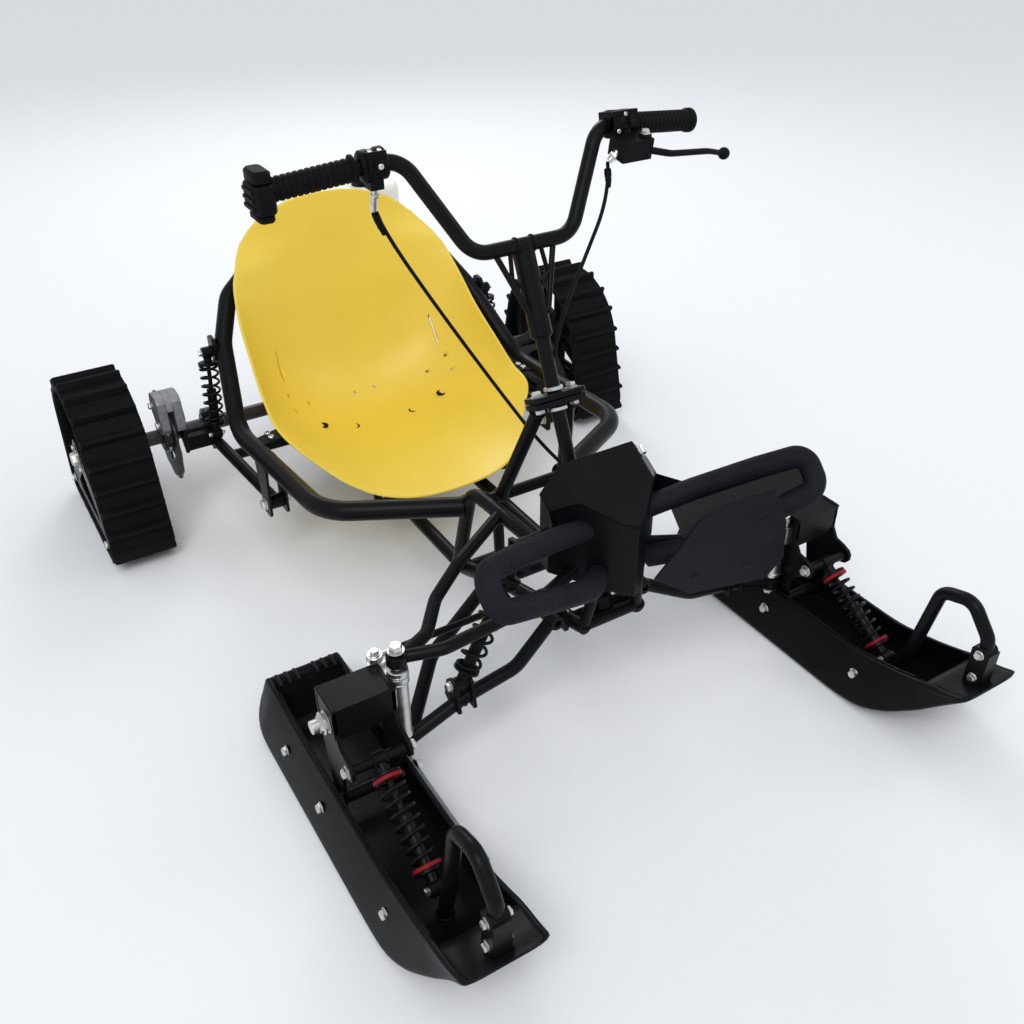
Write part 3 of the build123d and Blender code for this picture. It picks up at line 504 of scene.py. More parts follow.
class KartSizes(bpy.types.PropertyGroup):
    bar_tube: size("Handlebar tube", "Radius of the handlebar tube in millimetres", 11.1)
    rail_tube: size("Frame rail", "Radius of the lower rails in millimetres", 13.0)
    upper_tube: size("Upper rail", "Radius of the upper rails in millimetres", 12.0)
    hoop_tube: size("Side hoop", "Radius of the hoops round the seat in millimetres", 17.5)
    foot_tube: size("Foot hoop", "Radius of the sleeved foot hoops in millimetres", 17.0)
    arm_tube: size("Front arm", "Radius of the lower front arms in millimetres", 11.0)
    seat_wall: size("Seat wall", "Thickness of the seat shell in millimetres", 5.0)
    spring_wire: size("Spring wire", "Radius of the spring wire in millimetres", 2.6)
    lug_height: size("Lug height", "Height of a track lug in millimetres", 15.0)
    lug_count: IntProperty(name="Lugs", description="Lugs round one track", default=24, min=6, max=60)
    ski_wall: size("Ski wall", "Thickness of the ski tub wall in millimetres", 8.0)


class KartColours(bpy.types.PropertyGroup):
    frame: colour("Frame paint", "Powder coat of the tubes", (0.0040, 0.0040, 0.0048))
    seat: colour("Seat", "Moulded seat shell", (0.80, 0.57, 0.050))
    track: colour("Track rubber", "Rubber of the tracks", (0.0042, 0.0042, 0.0048))
    ski: colour("Ski", "Moulded ski tub", (0.0040, 0.0040, 0.0050))
    sleeve: colour("Foam sleeve", "Sleeve on the foot hoops", (0.0060, 0.0068, 0.0095))
    guard: colour("Guard", "Grey foot guard", (0.0080, 0.0080, 0.0105))
    zinc: colour("Zinc plate", "Plated bolts and knuckles", (0.72, 0.71, 0.68))
    steel: colour("Steel", "Bare machined steel", (0.075, 0.075, 0.080))
    alloy: colour("Cast alloy", "Engine castings", (0.30, 0.30, 0.31))
    tank: colour("Tank", "Blown fuel tank", (0.80, 0.80, 0.77))
    collar: colour("Collar", "Red spring collars", (0.17, 0.010, 0.013))
    control: colour("Controls", "Switch and lever bodies", (0.0040, 0.0040, 0.0050))


finishes = {}


def sizes():
    return bpy.context.scene.kart_sizes


class KART_OT_finishes(bpy.types.Operator):
    """Makes the paint, plastic, rubber and metal finishes"""
    bl_idname = "kart.finishes"
    bl_label = "Finishes"

    def execute(self, context):
        c = context.scene.kart_colours
        finishes["frame"] = coated_steel("frame_paint", tuple(c.frame))
        finishes["panel"] = coated_steel("panel_paint", shade(tuple(c.frame), 0.9))
        finishes["seat"] = moulded_seat("seat_plastic", tuple(c.seat))
        finishes["track"] = moulded_plastic("track_rubber", tuple(c.track), 0.58, 320.0)
        finishes["wheel"] = moulded_plastic("wheel_plastic", shade(tuple(c.track), 1.6), 0.42, 420.0)
        finishes["ski"] = moulded_plastic("ski_plastic", tuple(c.ski), 0.22, 520.0, 0.09)
        finishes["sleeve"] = foam_sleeve("foam_sleeve", tuple(c.sleeve))
        finishes["guard"] = moulded_plastic("guard_plastic", tuple(c.guard), 0.42, 300.0)
        finishes["grip"] = moulded_plastic("grip_rubber", shade(tuple(c.track), 0.9), 0.48, 600.0)
        finishes["control"] = moulded_plastic("control_plastic", tuple(c.control), 0.34, 480.0)
        finishes["cable"] = moulded_plastic("cable_sheath", tuple(c.control), 0.38, 700.0)
        finishes["spring"] = coated_steel("spring_paint", shade(tuple(c.frame), 1.2))
        finishes["collar"] = moulded_plastic("collar_red", tuple(c.collar), 0.30, 400.0)
        finishes["zinc"] = plated_steel("zinc_plate", tuple(c.zinc), 0.20)
        finishes["steel"] = plated_steel("dark_steel", tuple(c.steel), 0.30)
        finishes["alloy"] = plated_steel("engine_metal", tuple(c.alloy), 0.48)
        finishes["tank"] = blown_tank("tank_plastic", tuple(c.tank))
        return {"FINISHED"}


# places taken from the CAD source, in millimetres
RAKE = math.radians(24.7)
RAKE_DIR = Vector((0, math.sin(RAKE), math.cos(RAKE)))
RAKE_SIDE = Vector((0, math.cos(RAKE), -math.sin(RAKE)))
AXLE = (583.0, 172.0)
KINGPIN = (363.0, -372.0)
RAIL = [(50, -388, 186), (85, -190, 162), (85, -60, 105), (85, 652, 105), (85, 672, 458)]
UPPER = [(34, -404, 296), (80, -300, 300), (95, -112, 303), (98, -60, 112)]
# cross tubes as (half length, y, z, radius), posts and braces as (start, stop, radius)
CROSS_LOW = [(48, -382, 186, 10), (54, -355.8, 184, 10), (85, -190, 162, 10), (85, -60, 105, 10),
             (85, 640, 105, 10), (150, 180, 126, 9), (150, 440, 126, 9)]
CROSS_HIGH = [(34, -398, 296, 9), (96, -150, 302, 10), (45, -368, 366, 9), (150, -335, 345, 10)]
SEAT_POSTS = [((70, 180, 122), (70, 180, 152), 8), ((70, 440, 122), (70, 440, 153), 8),
              ((140, 180, 122), (140, 180, 164), 8), ((140, 440, 122), (140, 440, 176), 8)]
BRACES = [((50, -382, 186), (36, -398, 296), 9), ((85, -190, 162), (90, -190, 301), 9),
          ((45, -384, 292), (45, -368, 366), 9), ((45, -368, 366), (60, -335, 345), 9),
          ((78, -305, 300), (84, -335, 345), 9)]
HOOP = [(100, -94, 262), (306, 25, 256), (322, 417, 225), (285, 560, 352), (243, 622, 420), (150, 680, 470),
        (0, 680, 470)]
FOOT = [(50, -378, 366), (123, -407, 393), (209, -444, 421), (277, -472, 438), (277, -509, 397),
        (180, -490, 366), (95, -458, 327), (46, -404, 296)]

# the foot shield's outline on its own plane, and the corners of the dark sheet that closes the left foot
# hoop, a sheet of painted shade where the gap between the hoop's runs holds only shade
SHIELD = [(-76, 3), (-16, -52), (18, -88), (56, -96), (130, -78), (134, 10), (116, 98), (80, 130), (17, 102),
          (-38, 78)]
SHIELD_BEHIND_HOOP = 18.1
SHIELD_HALF = 1.3
WELL_SHADE = [(86, -392, 379), (209, -444, 421), (274, -471, 436), (274, -507, 397), (180, -490, 366),
        (86, -448, 321)]
WELL_SHADE_HALF = 1.4

# levels, middles and pins; a pin along X is given by its (y, z)
SKI_MIDDLE = 427.0
ARM_LUGS = ((-346, 190), (-190, 188))
LEG_PIN = (-382, 47)
LEG_DAMPER_PIN = (-432, 151)
SKI_DAMPER_PIN = (-590, 52)
STEERING_PIN = (380.0, -335.0, 242.0)
PITMAN_BALL = (40.0, -301.154, 208.352)
STUB_HEIGHT = 196.0
CHASSIS_PIVOT = (265, 147)
BUSH_HALF = 10.6
TRACK_MIDDLE = 548.0
ROLLER_REACH = 146.0
ROLLER_HEIGHT = 51.0
CLUTCH = (716.0, 262.0)
CHAIN_X = 285.0
CHAIN_PITCH = 12.7
ENGINE_X = 85.0
TANK_X = 70.0
TANK_Y = 734.0
NOSE_FOLD = 390.0
COLUMN_FOOT = 190.0
PITMAN_LEVEL = 215.0
SLEEVE_LOW = 580.0
SLEEVE_HIGH = 708.0
COLUMN_CLAMP = (-216.0, 494.0)


def column_at(height):
    """The steering column's centre at a height."""
    return Vector((0, COLUMN_CLAMP[0] + (height - COLUMN_CLAMP[1]) * math.tan(RAKE), height))


def frame_tubes():
    """Lower and upper frame, each tube with its weld beads."""
    s = sizes()
    low = Shape()
    high = Shape()
    for side in (1, -1):
        low.tube(rounded_run(mirrored(RAIL, side), [70, 70, 70]), s.rail_tube)
        high.tube(rounded_run(mirrored(UPPER, side), [80, 40]), s.upper_tube)
        for tubes, table in ((low, SEAT_POSTS), (high, BRACES)):
            for start, stop, radius in table:
                a, b = mirrored([start, stop], side)
                tubes.rod(a, b, radius)
                tubes.weld(a, Vector(b) - Vector(a), radius + 1.0)
                tubes.weld(b, Vector(b) - Vector(a), radius + 1.0)
        low.weld((side * 86, -190, 175), (0, 0, 1), 10)
        high.weld((side * 96, -62, 122), (0, 0, 1), 12.6)
        low.weld((side * 84.5, 671, 452), (0, 0.05, 1), 13.6)
        for x, y, z in ((72, -190, 162), (72, -60, 105), (72, 640, 105)):
            low.weld((side * x, y, z), (1, 0, 0), 10.6)
        high.weld((side * 84, -150, 302), (1, 0, 0), 10.6)
    for tubes, table in ((low, CROSS_LOW), (high, CROSS_HIGH)):
        for half, y, z, radius in table:
            tubes.rod((-half, y, z), (half, y, z), radius)
    low.make("lower_frame_tubes", "frame", "frame_paint", "chassis", ["main_frame"])
    high.make("upper_frame_tubes", "frame", "frame_paint", "chassis", ["upper_frame"])


def frame_brackets():
    """Lugs of the front arms and dampers, and the column bearing."""
    plates = Shape()
    for side in (1, -1):
        for y_low, y_high, base, top in ((-362, -330, 168, 205), (-206, -174, 150, 200)):
            plates.plate(side * 64, [(y_low, base), (y_high, base), (y_high, top - 12), (y_high - 8, top),
                                     (y_low + 8, top), (y_low, top - 12)], side * 8)
        plates.plate(side * 142, [(-372, 324), (-368, 319), (-350, 318), (-321, 331), (-321, 353),
                                  (-341, 359), (-368, 350), (-372, 345)], side * 8)
    foot = column_at(COLUMN_FOOT)
    plates.ring(foot - RAKE_DIR * 16, foot + RAKE_DIR * 16, 20, 11.2)
    plates.make("frame_brackets", "frame", "frame_paint", "chassis", (), 0.8)


def column_legs():
    """Two legs and the clamp plates of the steering column."""
    legs = Shape()
    for side in (1, -1):
        legs.rod((side * 26, -212, 482), (side * 62, -152, 300), 11)
        for x, y, z in ((61.5, -153, 306), (28, -208, 474)):
            legs.weld((side * x, y, z), (side * 0.19, 0.31, -0.93), 11.4)
    clamp = column_at(COLUMN_CLAMP[1])
    for offset in (-9.0, 1.0):
        outline = []
        for k in range(40):
            a = math.tau * k / 40
            x = max(-34, min(34, 60 * math.cos(a))) + 12 * math.cos(a)
            y = max(-12, min(12, 40 * math.sin(a))) + 11 * math.sin(a)
            outline.append(clamp + Vector((1, 0, 0)) * x + RAKE_SIDE * y + RAKE_DIR * offset)
        legs.prism(outline, RAKE_DIR * 8)
    legs.make("column_legs", "frame", "frame_paint", "chassis", ["column_support"], 0.7)


def frame_bolts():
    """Bolts of the clamp, the damper ears and the arm lugs."""
    clamp = column_at(COLUMN_CLAMP[1])
    bolts = Shape()
    for side in (1, -1):
        seat = clamp + Vector((side * 31, 0, 0))
        bolts.hex_bolt(seat + RAKE_DIR * 9, RAKE_DIR, 14)
        bolts.hex_bolt(seat - RAKE_DIR * 9, -RAKE_DIR, 14)
        bolts.hex_bolt((side * 142, -356, 334), (-side, 0, 0), 13)
        for y, z in ARM_LUGS:
            bolts.hex_bolt((side * 64, y, z), (-side, 0, 0), 13)
    bolts.make("frame_bolts", "zinc", "zinc_steel", "chassis")


class KART_OT_frame(bpy.types.Operator):
    """Welded tube frame with its brackets and the steering column legs"""
    bl_idname = "kart.frame"
    bl_label = "Tube frame"

    def execute(self, context):
        frame_tubes()
        frame_brackets()
        column_legs()
        frame_bolts()
        return {"FINISHED"}


def side_hoop(side, tag):
    """Hoop beside the seat with its brackets and bolts."""
    hoop = Shape()
    hoop.tube(rounded_run(mirrored(HOOP, side), [90, 110, 110, 60, 60]), sizes().hoop_tube, 28, False, 0.3)
    hoop.weld((side * 100, -94, 262), (side * 0.86, 0.5, -0.03), sizes().hoop_tube + 0.4)
    hoop.make("side_hoop_tube_" + tag, "frame", "frame_paint", "chassis", ["side_hoop_" + tag])
    plates = Shape()
    for x in (295, 328):
        plates.plate(side * x, [(244, 130), (250, 124), (280, 124), (286, 130), (286, 168),
                                (296, 226), (294, 236), (240, 236), (236, 228), (244, 170)], side * 5)
    plates.plate(side * 303, [(542, 328), (550, 322), (572, 324), (576, 332), (576, 366), (568, 372),
                              (548, 370), (540, 360)], side * 8)
    plates.prism(mirrored([(264, 322, 246), (312, 322, 238), (312, 362, 233), (264, 362, 243)], side),
                 (0, 0, -4))
    plates.make("side_hoop_plates_" + tag, "frame", "frame_paint", "chassis", (), 0.7)
    bolts = Shape()
    bolts.hex_bolt((side * 333, *CHASSIS_PIVOT), (side, 0, 0), 17)
    bolts.hex_bolt((side * 295, *CHASSIS_PIVOT), (-side, 0, 0), 17)
    bolts.hex_bolt((side * 303, 558, 342), (-side, 0, 0), 13)
    bolts.socket_screw((side * 284, 332, 243), (side * 0.1, 0, 1), 6)
    bolts.socket_screw((side * 284, 352, 241), (side * 0.1, 0, 1), 6)
    bolts.make("side_hoop_bolts_" + tag, "zinc", "zinc_steel", "chassis")


def foot_hoop(side, tag):
    """Sleeved hoop that carries the foot."""
    sleeve = Shape()
    sleeve.tube(rounded_run(mirrored(FOOT, side), [80, 80, 22, 22, 80, 80]), sizes().foot_tube, 28)
    sleeve.make("foot_hoop_sleeve_" + tag, "sleeve", "foam_black", "chassis", ["foot_hoop_" + tag])


class KART_OT_hoops(bpy.types.Operator):
    """Hoops round the seat and the sleeved foot hoops"""
    bl_idname = "kart.hoops"
    bl_label = "Hoops"

    def execute(self, context):
        for side, tag in SIDES:
            side_hoop(side, tag)
            foot_hoop(side, tag)
        return {"FINISHED"}


# seat sections from front to top: half width, y and z of the rim, y and z of the middle
SEAT_SECTIONS = [
    (186.0, 98.0, 180.0, 98.0, 160.0), (213.0, 213.0, 202.0, 215.0, 150.0),
    (254.0, 271.0, 242.0, 300.0, 147.0), (264.0, 350.0, 254.0, 420.0, 148.0),
    (262.0, 413.0, 289.0, 510.0, 160.0), (254.0, 484.0, 341.0, 575.0, 212.0),
    (248.0, 538.0, 394.0, 612.0, 300.0), (238.0, 578.0, 442.0, 634.0, 400.0),
    (228.0, 603.0, 475.0, 648.0, 468.0), (214.0, 648.0, 520.0, 657.0, 520.0),
    (205.0, 668.0, 600.0, 674.0, 600.0)]
# rim of the seat in the shell's own (across, along) measures, from the front middle to the top middle
SEAT_RIM = ([(0.0, 0.155), (0.157, 0.160), (0.315, 0.176), (0.444, 0.215), (0.535, 0.26), (0.644, 0.336),
             (0.744, 0.421), (0.830, 0.535), (0.912, 0.70), (0.965, 0.87), (0.992, 1.1)]
            + [(1.0, 1.5 + 0.5 * k) for k in range(12)]
            + [(0.993, 7.5), (0.973, 8.009), (0.944, 8.49), (0.899, 8.865), (0.81, 9.15), (0.699, 9.351),
               (0.551, 9.499), (0.385, 9.607), (0.193, 9.676), (0.0, 9.688)])
SEAT_MIDDLE = (0.0, 4.6)
SEAT_HOLES = ((0.0725, 4.414), (0.452, 4.25), (0.617, 4.41), (0.611, 3.95))
SEAT_HOLE_RADIUS = 3.3
SLOT_LOW = (0.612, 4.80)
SLOT_HIGH = (0.638, 5.53)
SLOT_RADIUS = 1.6


def seat_point(across, along):
    """A point on the seat's inner face."""
    last = len(SEAT_SECTIONS) - 1
    along = min(max(along, 0.0), last - 1e-6)
    index = int(along)
    t = along - index
    a, b, c, d = (SEAT_SECTIONS[min(max(index + k, 0), last)] for k in (-1, 0, 1, 2))
    half, rim_y, rim_z, mid_y, mid_z = (
        0.5 * (2 * q + (r - p) * t + (2 * p - 5 * q + 4 * r - w) * t * t + (3 * q - p - 3 * r + w) * t ** 3)
        for p, q, r, w in zip(a, b, c, d))
    depth = math.hypot(mid_y - rim_y, mid_z - rim_z)
    radius = (half * half + depth * depth) / (2 * max(depth, 0.01))
    angle = across * 2 * math.atan2(depth, half)
    rise = radius * (1 - math.cos(angle))
    return Vector((radius * math.sin(angle), mid_y + (rim_y - mid_y) / depth * rise,
                   mid_z + (rim_z - mid_z) / depth * rise))


def seat_normal(across, along):
    step_a = seat_point(across + 0.01, along) - seat_point(across - 0.01, along)
    step_b = seat_point(across, along + 0.03) - seat_point(across, along - 0.03)
    return step_a.cross(step_b).normalized()


class KART_OT_seat(bpy.types.Operator):
    """Moulded bucket seat with a rolled rim, slots and holes"""
    bl_idname = "kart.seat"
    bl_label = "Seat"

    def execute(self, context):
        wall = sizes().seat_wall
        rim = [Vector((u, v)) for u, v in SEAT_RIM]
        dense = []
        for first, second in zip(rim[:-1], rim[1:]):
            dense.extend(first.lerp(second, k / 3) for k in range(3))
        dense.append(rim[-1])
        outline = dense + [Vector((-p.x, p.y)) for p in reversed(dense[1:-1])]
        middle = Vector(SEAT_MIDDLE)
        fractions = [0.0015, 0.03] + [0.06 + 0.028 * k for k in range(31)] + [0.925, 0.95, 0.972, 0.988, 1.0]
        inner = []
        for fraction in fractions:
            ring = []
            for p in outline:
                spot = middle + (p - middle) * fraction
                ring.append((seat_point(spot.x, spot.y), seat_normal(spot.x, spot.y)))
            inner.append(ring)
        rings = [[p for p, n in ring] for ring in inner]
        # rolled rim: out and over, then back along the outer face
        for out, down in ((1.5, -0.6), (2.6, -2.2), (2.6, -wall + 1.2), (1.4, -wall + 0.2)):
            rings.append([p + (p - back).normalized() * out + n * down
                          for (p, n), (back, _) in zip(inner[-1], inner[-2])])
        for ring in reversed(inner):
            rings.append([p - n * wall for p, n in ring])
        shell = Shape().loft(rings)
        seat = shell.make("seat_shell", "seat", "seat_yellow", "chassis", ["seat"], 0, 60)
        cutter = Shape()
        for side in (1, -1):
            for u, v in SEAT_HOLES:
                p, n = seat_point(side * u, v), seat_normal(side * u, v)
                cutter.rod(p - n * 14, p + n * 10, SEAT_HOLE_RADIUS, 24)
            low, high = (seat_point(side * u, v) for u, v in (SLOT_LOW, SLOT_HIGH))
            n = seat_normal(side * 0.625, 5.17)
            along = (high - low).normalized()
            across = along.cross(n).normalized()
            ring = []
            for k in range(26):
                a = math.pi * (k if k < 13 else k - 1) / 12
                end = high if k < 13 else low
                ring.append(end + (across * math.cos(a) + along * math.sin(a)) * SLOT_RADIUS - n * 18)
            cutter.prism(ring, n * 36)
        mesh = bpy.data.meshes.new("seat_cutter")
        mesh.from_pydata([tuple(p * MM) for p in cutter.points], [], cutter.faces)
        tool = bpy.data.objects.new("seat_cutter", mesh)
        context.scene.collection.objects.link(tool)
        cut = seat.modifiers.new("holes", "BOOLEAN")
        cut.object = tool
        cut.solver = "EXACT"
        context.view_layer.update()
        evaluated = seat.evaluated_get(context.evaluated_depsgraph_get())
        baked = bpy.data.meshes.new_from_object(evaluated)
        seat.modifiers.remove(cut)
        seat.data = baked
        bpy.data.objects.remove(tool)
        return {"FINISHED"}


def nose_cover():
    """Folded cover with its lid and side gussets."""
    left = [(98, -326), (98, -350), (66, -381), (14, -431), (0, -438)]
    left_inner = [(95, -326), (95, -348.7), (64, -378.7), (12.8, -428), (0, -434.5)]
    outer = left + [(-x, y) for x, y in reversed(left[:-1])]
    inner = [(-x, y) for x, y in left_inner] + list(reversed(left_inner[:-1]))

    def roof(x, y, lower=0.0):
        return (x, y, NOSE_FOLD + (y + 428) * 0.6 - max(0.0, abs(x) - 66) * 1.2 - lower)

    cover = Shape()
    cover.loft([[(x, y, 262 + (y + 431) * 0.3125) for x, y in outer + inner],
                [roof(x, y) for x, y in outer + inner]])
    front = [(66, -324)] + outer[2:7] + [(-66, -324)]
    for lid in (front, [(98, -324), (98, -350), (66, -381), (66, -324)],
                [(-66, -324), (-66, -381), (-98, -350), (-98, -324)]):
        cover.loft([[roof(x, y, 3.0) for x, y in lid], [roof(x, y) for x, y in lid]])
    cover.make("nose_cover", "panel", "panel_black", "chassis", ["nose_panel"], 0.6)
    gussets = Shape()
    for side in (1, -1):
        gussets.prism(mirrored([(96, -330, 412), (98, -350, 398), (128, -408, 398), (112, -402, 384),
                                (98, -352, 340), (96, -330, 340)], side), (-side * 2, 2, 0))
    gussets.make("nose_gussets", "panel", "panel_black", "chassis", (), 0.5)


def foot_shield():
    """Grey shield on the left foot hoop, with its lip and buttons."""
    along = (Vector(FOOT[5]) - Vector(FOOT[6])).normalized()
    square = along.cross(Vector((0, 0.24, -0.97))).normalized()
    down = square.cross(along)
    origin = Vector(FOOT[6]) - square * SHIELD_BEHIND_HOOP
    corners = [origin + along * x + down * y for x, y in SHIELD]
    start = (corners[0] + corners[-1]) * 0.5
    ring = rounded_run([start] + corners + [start], [10] * len(corners))[:-1]
    shield = Shape()
    shield.prism([p + square * SHIELD_HALF for p in ring], square * -2 * SHIELD_HALF)
    shield.make("foot_shield", "guard", "guard_grey", "chassis", ["foot_guard_left"], 0.8)
    lip = Shape()
    top = rounded_run(corners[:5], [20, 30, 30])
    lip.tube([p - square * 0.6 for p in top], 2.6, 12)
    for x, y in ((-20, 40), (60, 70), (104, -20)):
        spot = origin + along * x + down * y - square * SHIELD_HALF
        lip.lathe(spot, spot - square * 2.5, [(7, 0), (6.5, 1.4), (4, 2.3), (0.5, 2.5)], 20)
    lip.make("foot_shield_lip", "guard", "guard_grey", "chassis")


def foot_well_shade_sheet():
    """Dark sheet that closes the left foot hoop: painted shade, put in the gap between the hoop's runs where
    there is only shade.
    """
    flat = Vector((0.439, 0.562, -0.702)).normalized()
    sheet = Shape()
    # painted shade: this black plate darkens the hoop's gap so that no pale floor shows through it
    sheet.prism([Vector(p) + flat * WELL_SHADE_HALF for p in WELL_SHADE], flat * -2 * WELL_SHADE_HALF)
    sheet.make("foot_well_shade_sheet", "panel", "panel_black", "chassis")


def nose_bolt():
    """The one bolt that shows beside the nose."""
    bolts = Shape()
    bolts.hex_bolt((76, -333, 435), (0.73, -0.37, 0.6), 13)
    bolts.make("nose_bolts", "zinc", "zinc_steel", "chassis")


class KART_OT_nose(bpy.types.Operator):
    """Folded nose cover and the grey foot guard"""
    bl_idname = "kart.nose"
    bl_label = "Nose cover and guard"

    def execute(self, context):
        nose_cover()
        foot_shield()
        foot_well_shade_sheet()
        nose_bolt()
        return {"FINISHED"}


def damper(tag, body, low, high, radius, node, turns, collar=False):
    """Spring damper: body, rod, spring seats, true helix and two eyes."""
    s = sizes()
    low, high = Vector(low), Vector(high)
    axis = (high - low).normalized()
    length = (high - low).length
    tube = Shape()
    body_end = length * 0.55
    tube.lathe(low, high, [(4, 8), (9, 9), (9, 20), (radius - 1, 21), (radius, 22), (radius, 25),
                           (radius - 2, 26), (9.5, 27), (9.5, body_end), (8.5, body_end + 1),
                           (4.2, body_end + 2), (4.2, length - 24), (8, length - 23), (8, length - 8),
                           (4, length - 7)], 28)
    tube.lathe(low, high, [(5, length - 26), (radius, length - 25), (radius, length - 22),
                           (radius - 2, length - 21), (5, length - 20)], 28)
    for eye in (low, high):
        tube.ring(eye - Vector((10, 0, 0)), eye + Vector((10, 0, 0)), 11, 5.6, 28)
    tube.make(tag + "_damper", "frame", "spring_black", body, [node] if tag != "rear_right" else ())
    spring = Shape()
    spring.coil(low + axis * 25, high - axis * 25, radius - 0.4, s.spring_wire, turns)
    spring.make(tag + "_spring", "spring", "spring_black", body)
    bush = Shape()
    for eye in (low, high):
        bush.ring(eye - Vector((BUSH_HALF, 0, 0)), eye + Vector((BUSH_HALF, 0, 0)), 5.5, 3.0, 20, 0.3)
        bush.bolt_pair(eye.x, BUSH_HALF, eye.y, eye.z, 10)
    bush.make(tag + "_bolts", "zinc", "zinc_steel", body)
    if collar:
        band = Shape()
        band.ring(low + axis * 26.2, low + axis * 32, radius + 0.6, 10.5)
        band.ring(high - axis * 32, high - axis * 26.2, radius + 0.6, 10.5)
        band.make(tag + "_collars", "collar", "spring_black", body)


class KART_OT_dampers(bpy.types.Operator):
    """Six spring dampers with true coils"""
    bl_idname = "kart.dampers"
    bl_label = "Dampers"

    def execute(self, context):
        for side, tag in SIDES:
            damper("front_" + tag, "chassis", (side * 264, -370, 162), (side * 160, -356, 334), 20,
                   "front_shock_" + tag, 6.5)
            damper("rear_" + tag, "chassis", (side * 336, 538, 170), (side * 321, 558, 342), 20,
                   "rear_shocks", 6.5)
            middle = side * SKI_MIDDLE
            damper("ski_" + tag, "ski_set_" + tag, (middle, *SKI_DAMPER_PIN), (middle, *LEG_DAMPER_PIN), 21,
                   "ski_shock_" + tag, 8, True)
        return {"FINISHED"}


# centre lines of the front arms, their bends and what their tubes are thinner than the arm size
FRONT_ARMS = [
    ([(352, -372, 97), (262, -372, 132), (170, -375, 152), (84, -346, 190)], [60, 60], 0),
    ([(352, -370, 97), (262, -272, 140), (90, -190, 188)], [70], 0),
    ([(352, -371, 259), (305, -352, 263), (262, -298, 271), (200, -259, 289), (96, -200, 302)],
     [30, 40, 60], 1),
    ([(352, -373, 259), (300, -394, 264), (150, -398, 283), (62, -372, 297)], [50, 60], 1)]


class KART_OT_arms(bpy.types.Operator):
    """Front wishbones and the rear trailing arms"""
    bl_idname = "kart.arms"
    bl_label = "Arms"

    def execute(self, context):
        s = sizes()
        for side, tag in SIDES:
            arm = Shape()
            for route, bends, thinner in FRONT_ARMS:
                arm.tube(rounded_run(mirrored(route, side), bends), s.arm_tube - thinner)
            for y, z in ARM_LUGS:
                arm.ring((side * 85, y - 16, z), (side * 85, y + 16, z), 13, 6)
            x, y = side * KINGPIN[0], KINGPIN[1]
            for low, high in ((88, 106), (250, 268)):
                arm.ring((x, y, low), (x, y, high), 15, 7.4)
            for x in (248, 274):
                arm.plate(side * x, [(-392, 122), (-384, 166), (-378, 172), (-362, 172), (-356, 166),
                                     (-348, 132), (-364, 120)], side * 6)
            arm.weld((side * 262, -372, 132), (1, 0, 0), 11.4)
            arm.make("front_arms_" + tag, "frame", "frame_paint", "chassis", ["arms_" + tag], 0.5)
            bolts = Shape()
            for x, way in ((248, -1), (280, 1)):
                bolts.hex_bolt((side * x, -370, 162), (side * way, 0, 0), 13)
            bolts.make("front_arm_bolts_" + tag, "zinc", "zinc_steel", "chassis")
        rear = Shape()
        rear.rod((-330, 500, 131), (330, 500, 131), 11)
        for side in (1, -1):
            rear.rod((side * 313.5, *CHASSIS_PIVOT), (side * 338, 548, 150), 12)
            rear.ring((side * 300, *CHASSIS_PIVOT), (side * 328, *CHASSIS_PIVOT), 14, 7)
            rear.weld((side * 322, 500, 131), (1, 0, 0), 11.6)
            rear.plate(side * 329, [(540, 134), (590, 138), (608, 154), (613, 166), (611, 192), (600, 202),
                                    (582, 206), (562, 196), (548, 180), (540, 162)], side * 18)
            rear.ring((side * 325, *AXLE), (side * 351, *AXLE), 26, 15.2)
        rear.make("trailing_arms", "frame", "frame_paint", "chassis", ["swingarm"], 0.6)
        return {"FINISHED"}


# ski measures from heel to tip: y, underside, rim, floor of the tub
SKI_STATIONS = [
    (-125, 70, 80, 79), (-128, 50, 88, 87), (-134, 26, 92, 91), (-146, 14, 92, 90), (-158, 8, 91, 60),
    (-172, 4, 90, 14), (-186, 1, 88, 12), (-200, 0, 85, 12), (-240, 0, 80, 12), (-330, 0, 80, 12),
    (-420, 0, 80, 12), (-510, 0, 80, 12), (-560, 0, 80, 12), (-590, 3, 86, 15), (-620, 8, 92, 22),
    (-645, 18, 98, 34), (-668, 30, 105, 52), (-684, 42, 110, 80), (-700, 54, 116, 112), (-715, 66, 119, 118),
    (-735, 87, 123, 122), (-752, 104, 128, 127), (-768, 121, 135, 134), (-778, 131, 139, 138)]


TOW_LOOP = [(-610, 18), (-634, 115), (-656, 238), (-708, 254), (-748, 208), (-750, 108)]
HEEL_RIB = [(-129, 60), (-129.5, 78), (-136, 91), (-150, 93), (-164, 92)]


def flank_half(z):
    """Half width of the ski's outer face at a height."""
    if z < 80:
        return 94.0 - 33.0 * max(z - 6.0, 0.0) / 74.0
    return 61.0 + 5.0 * (z - 80.0) / 120.0


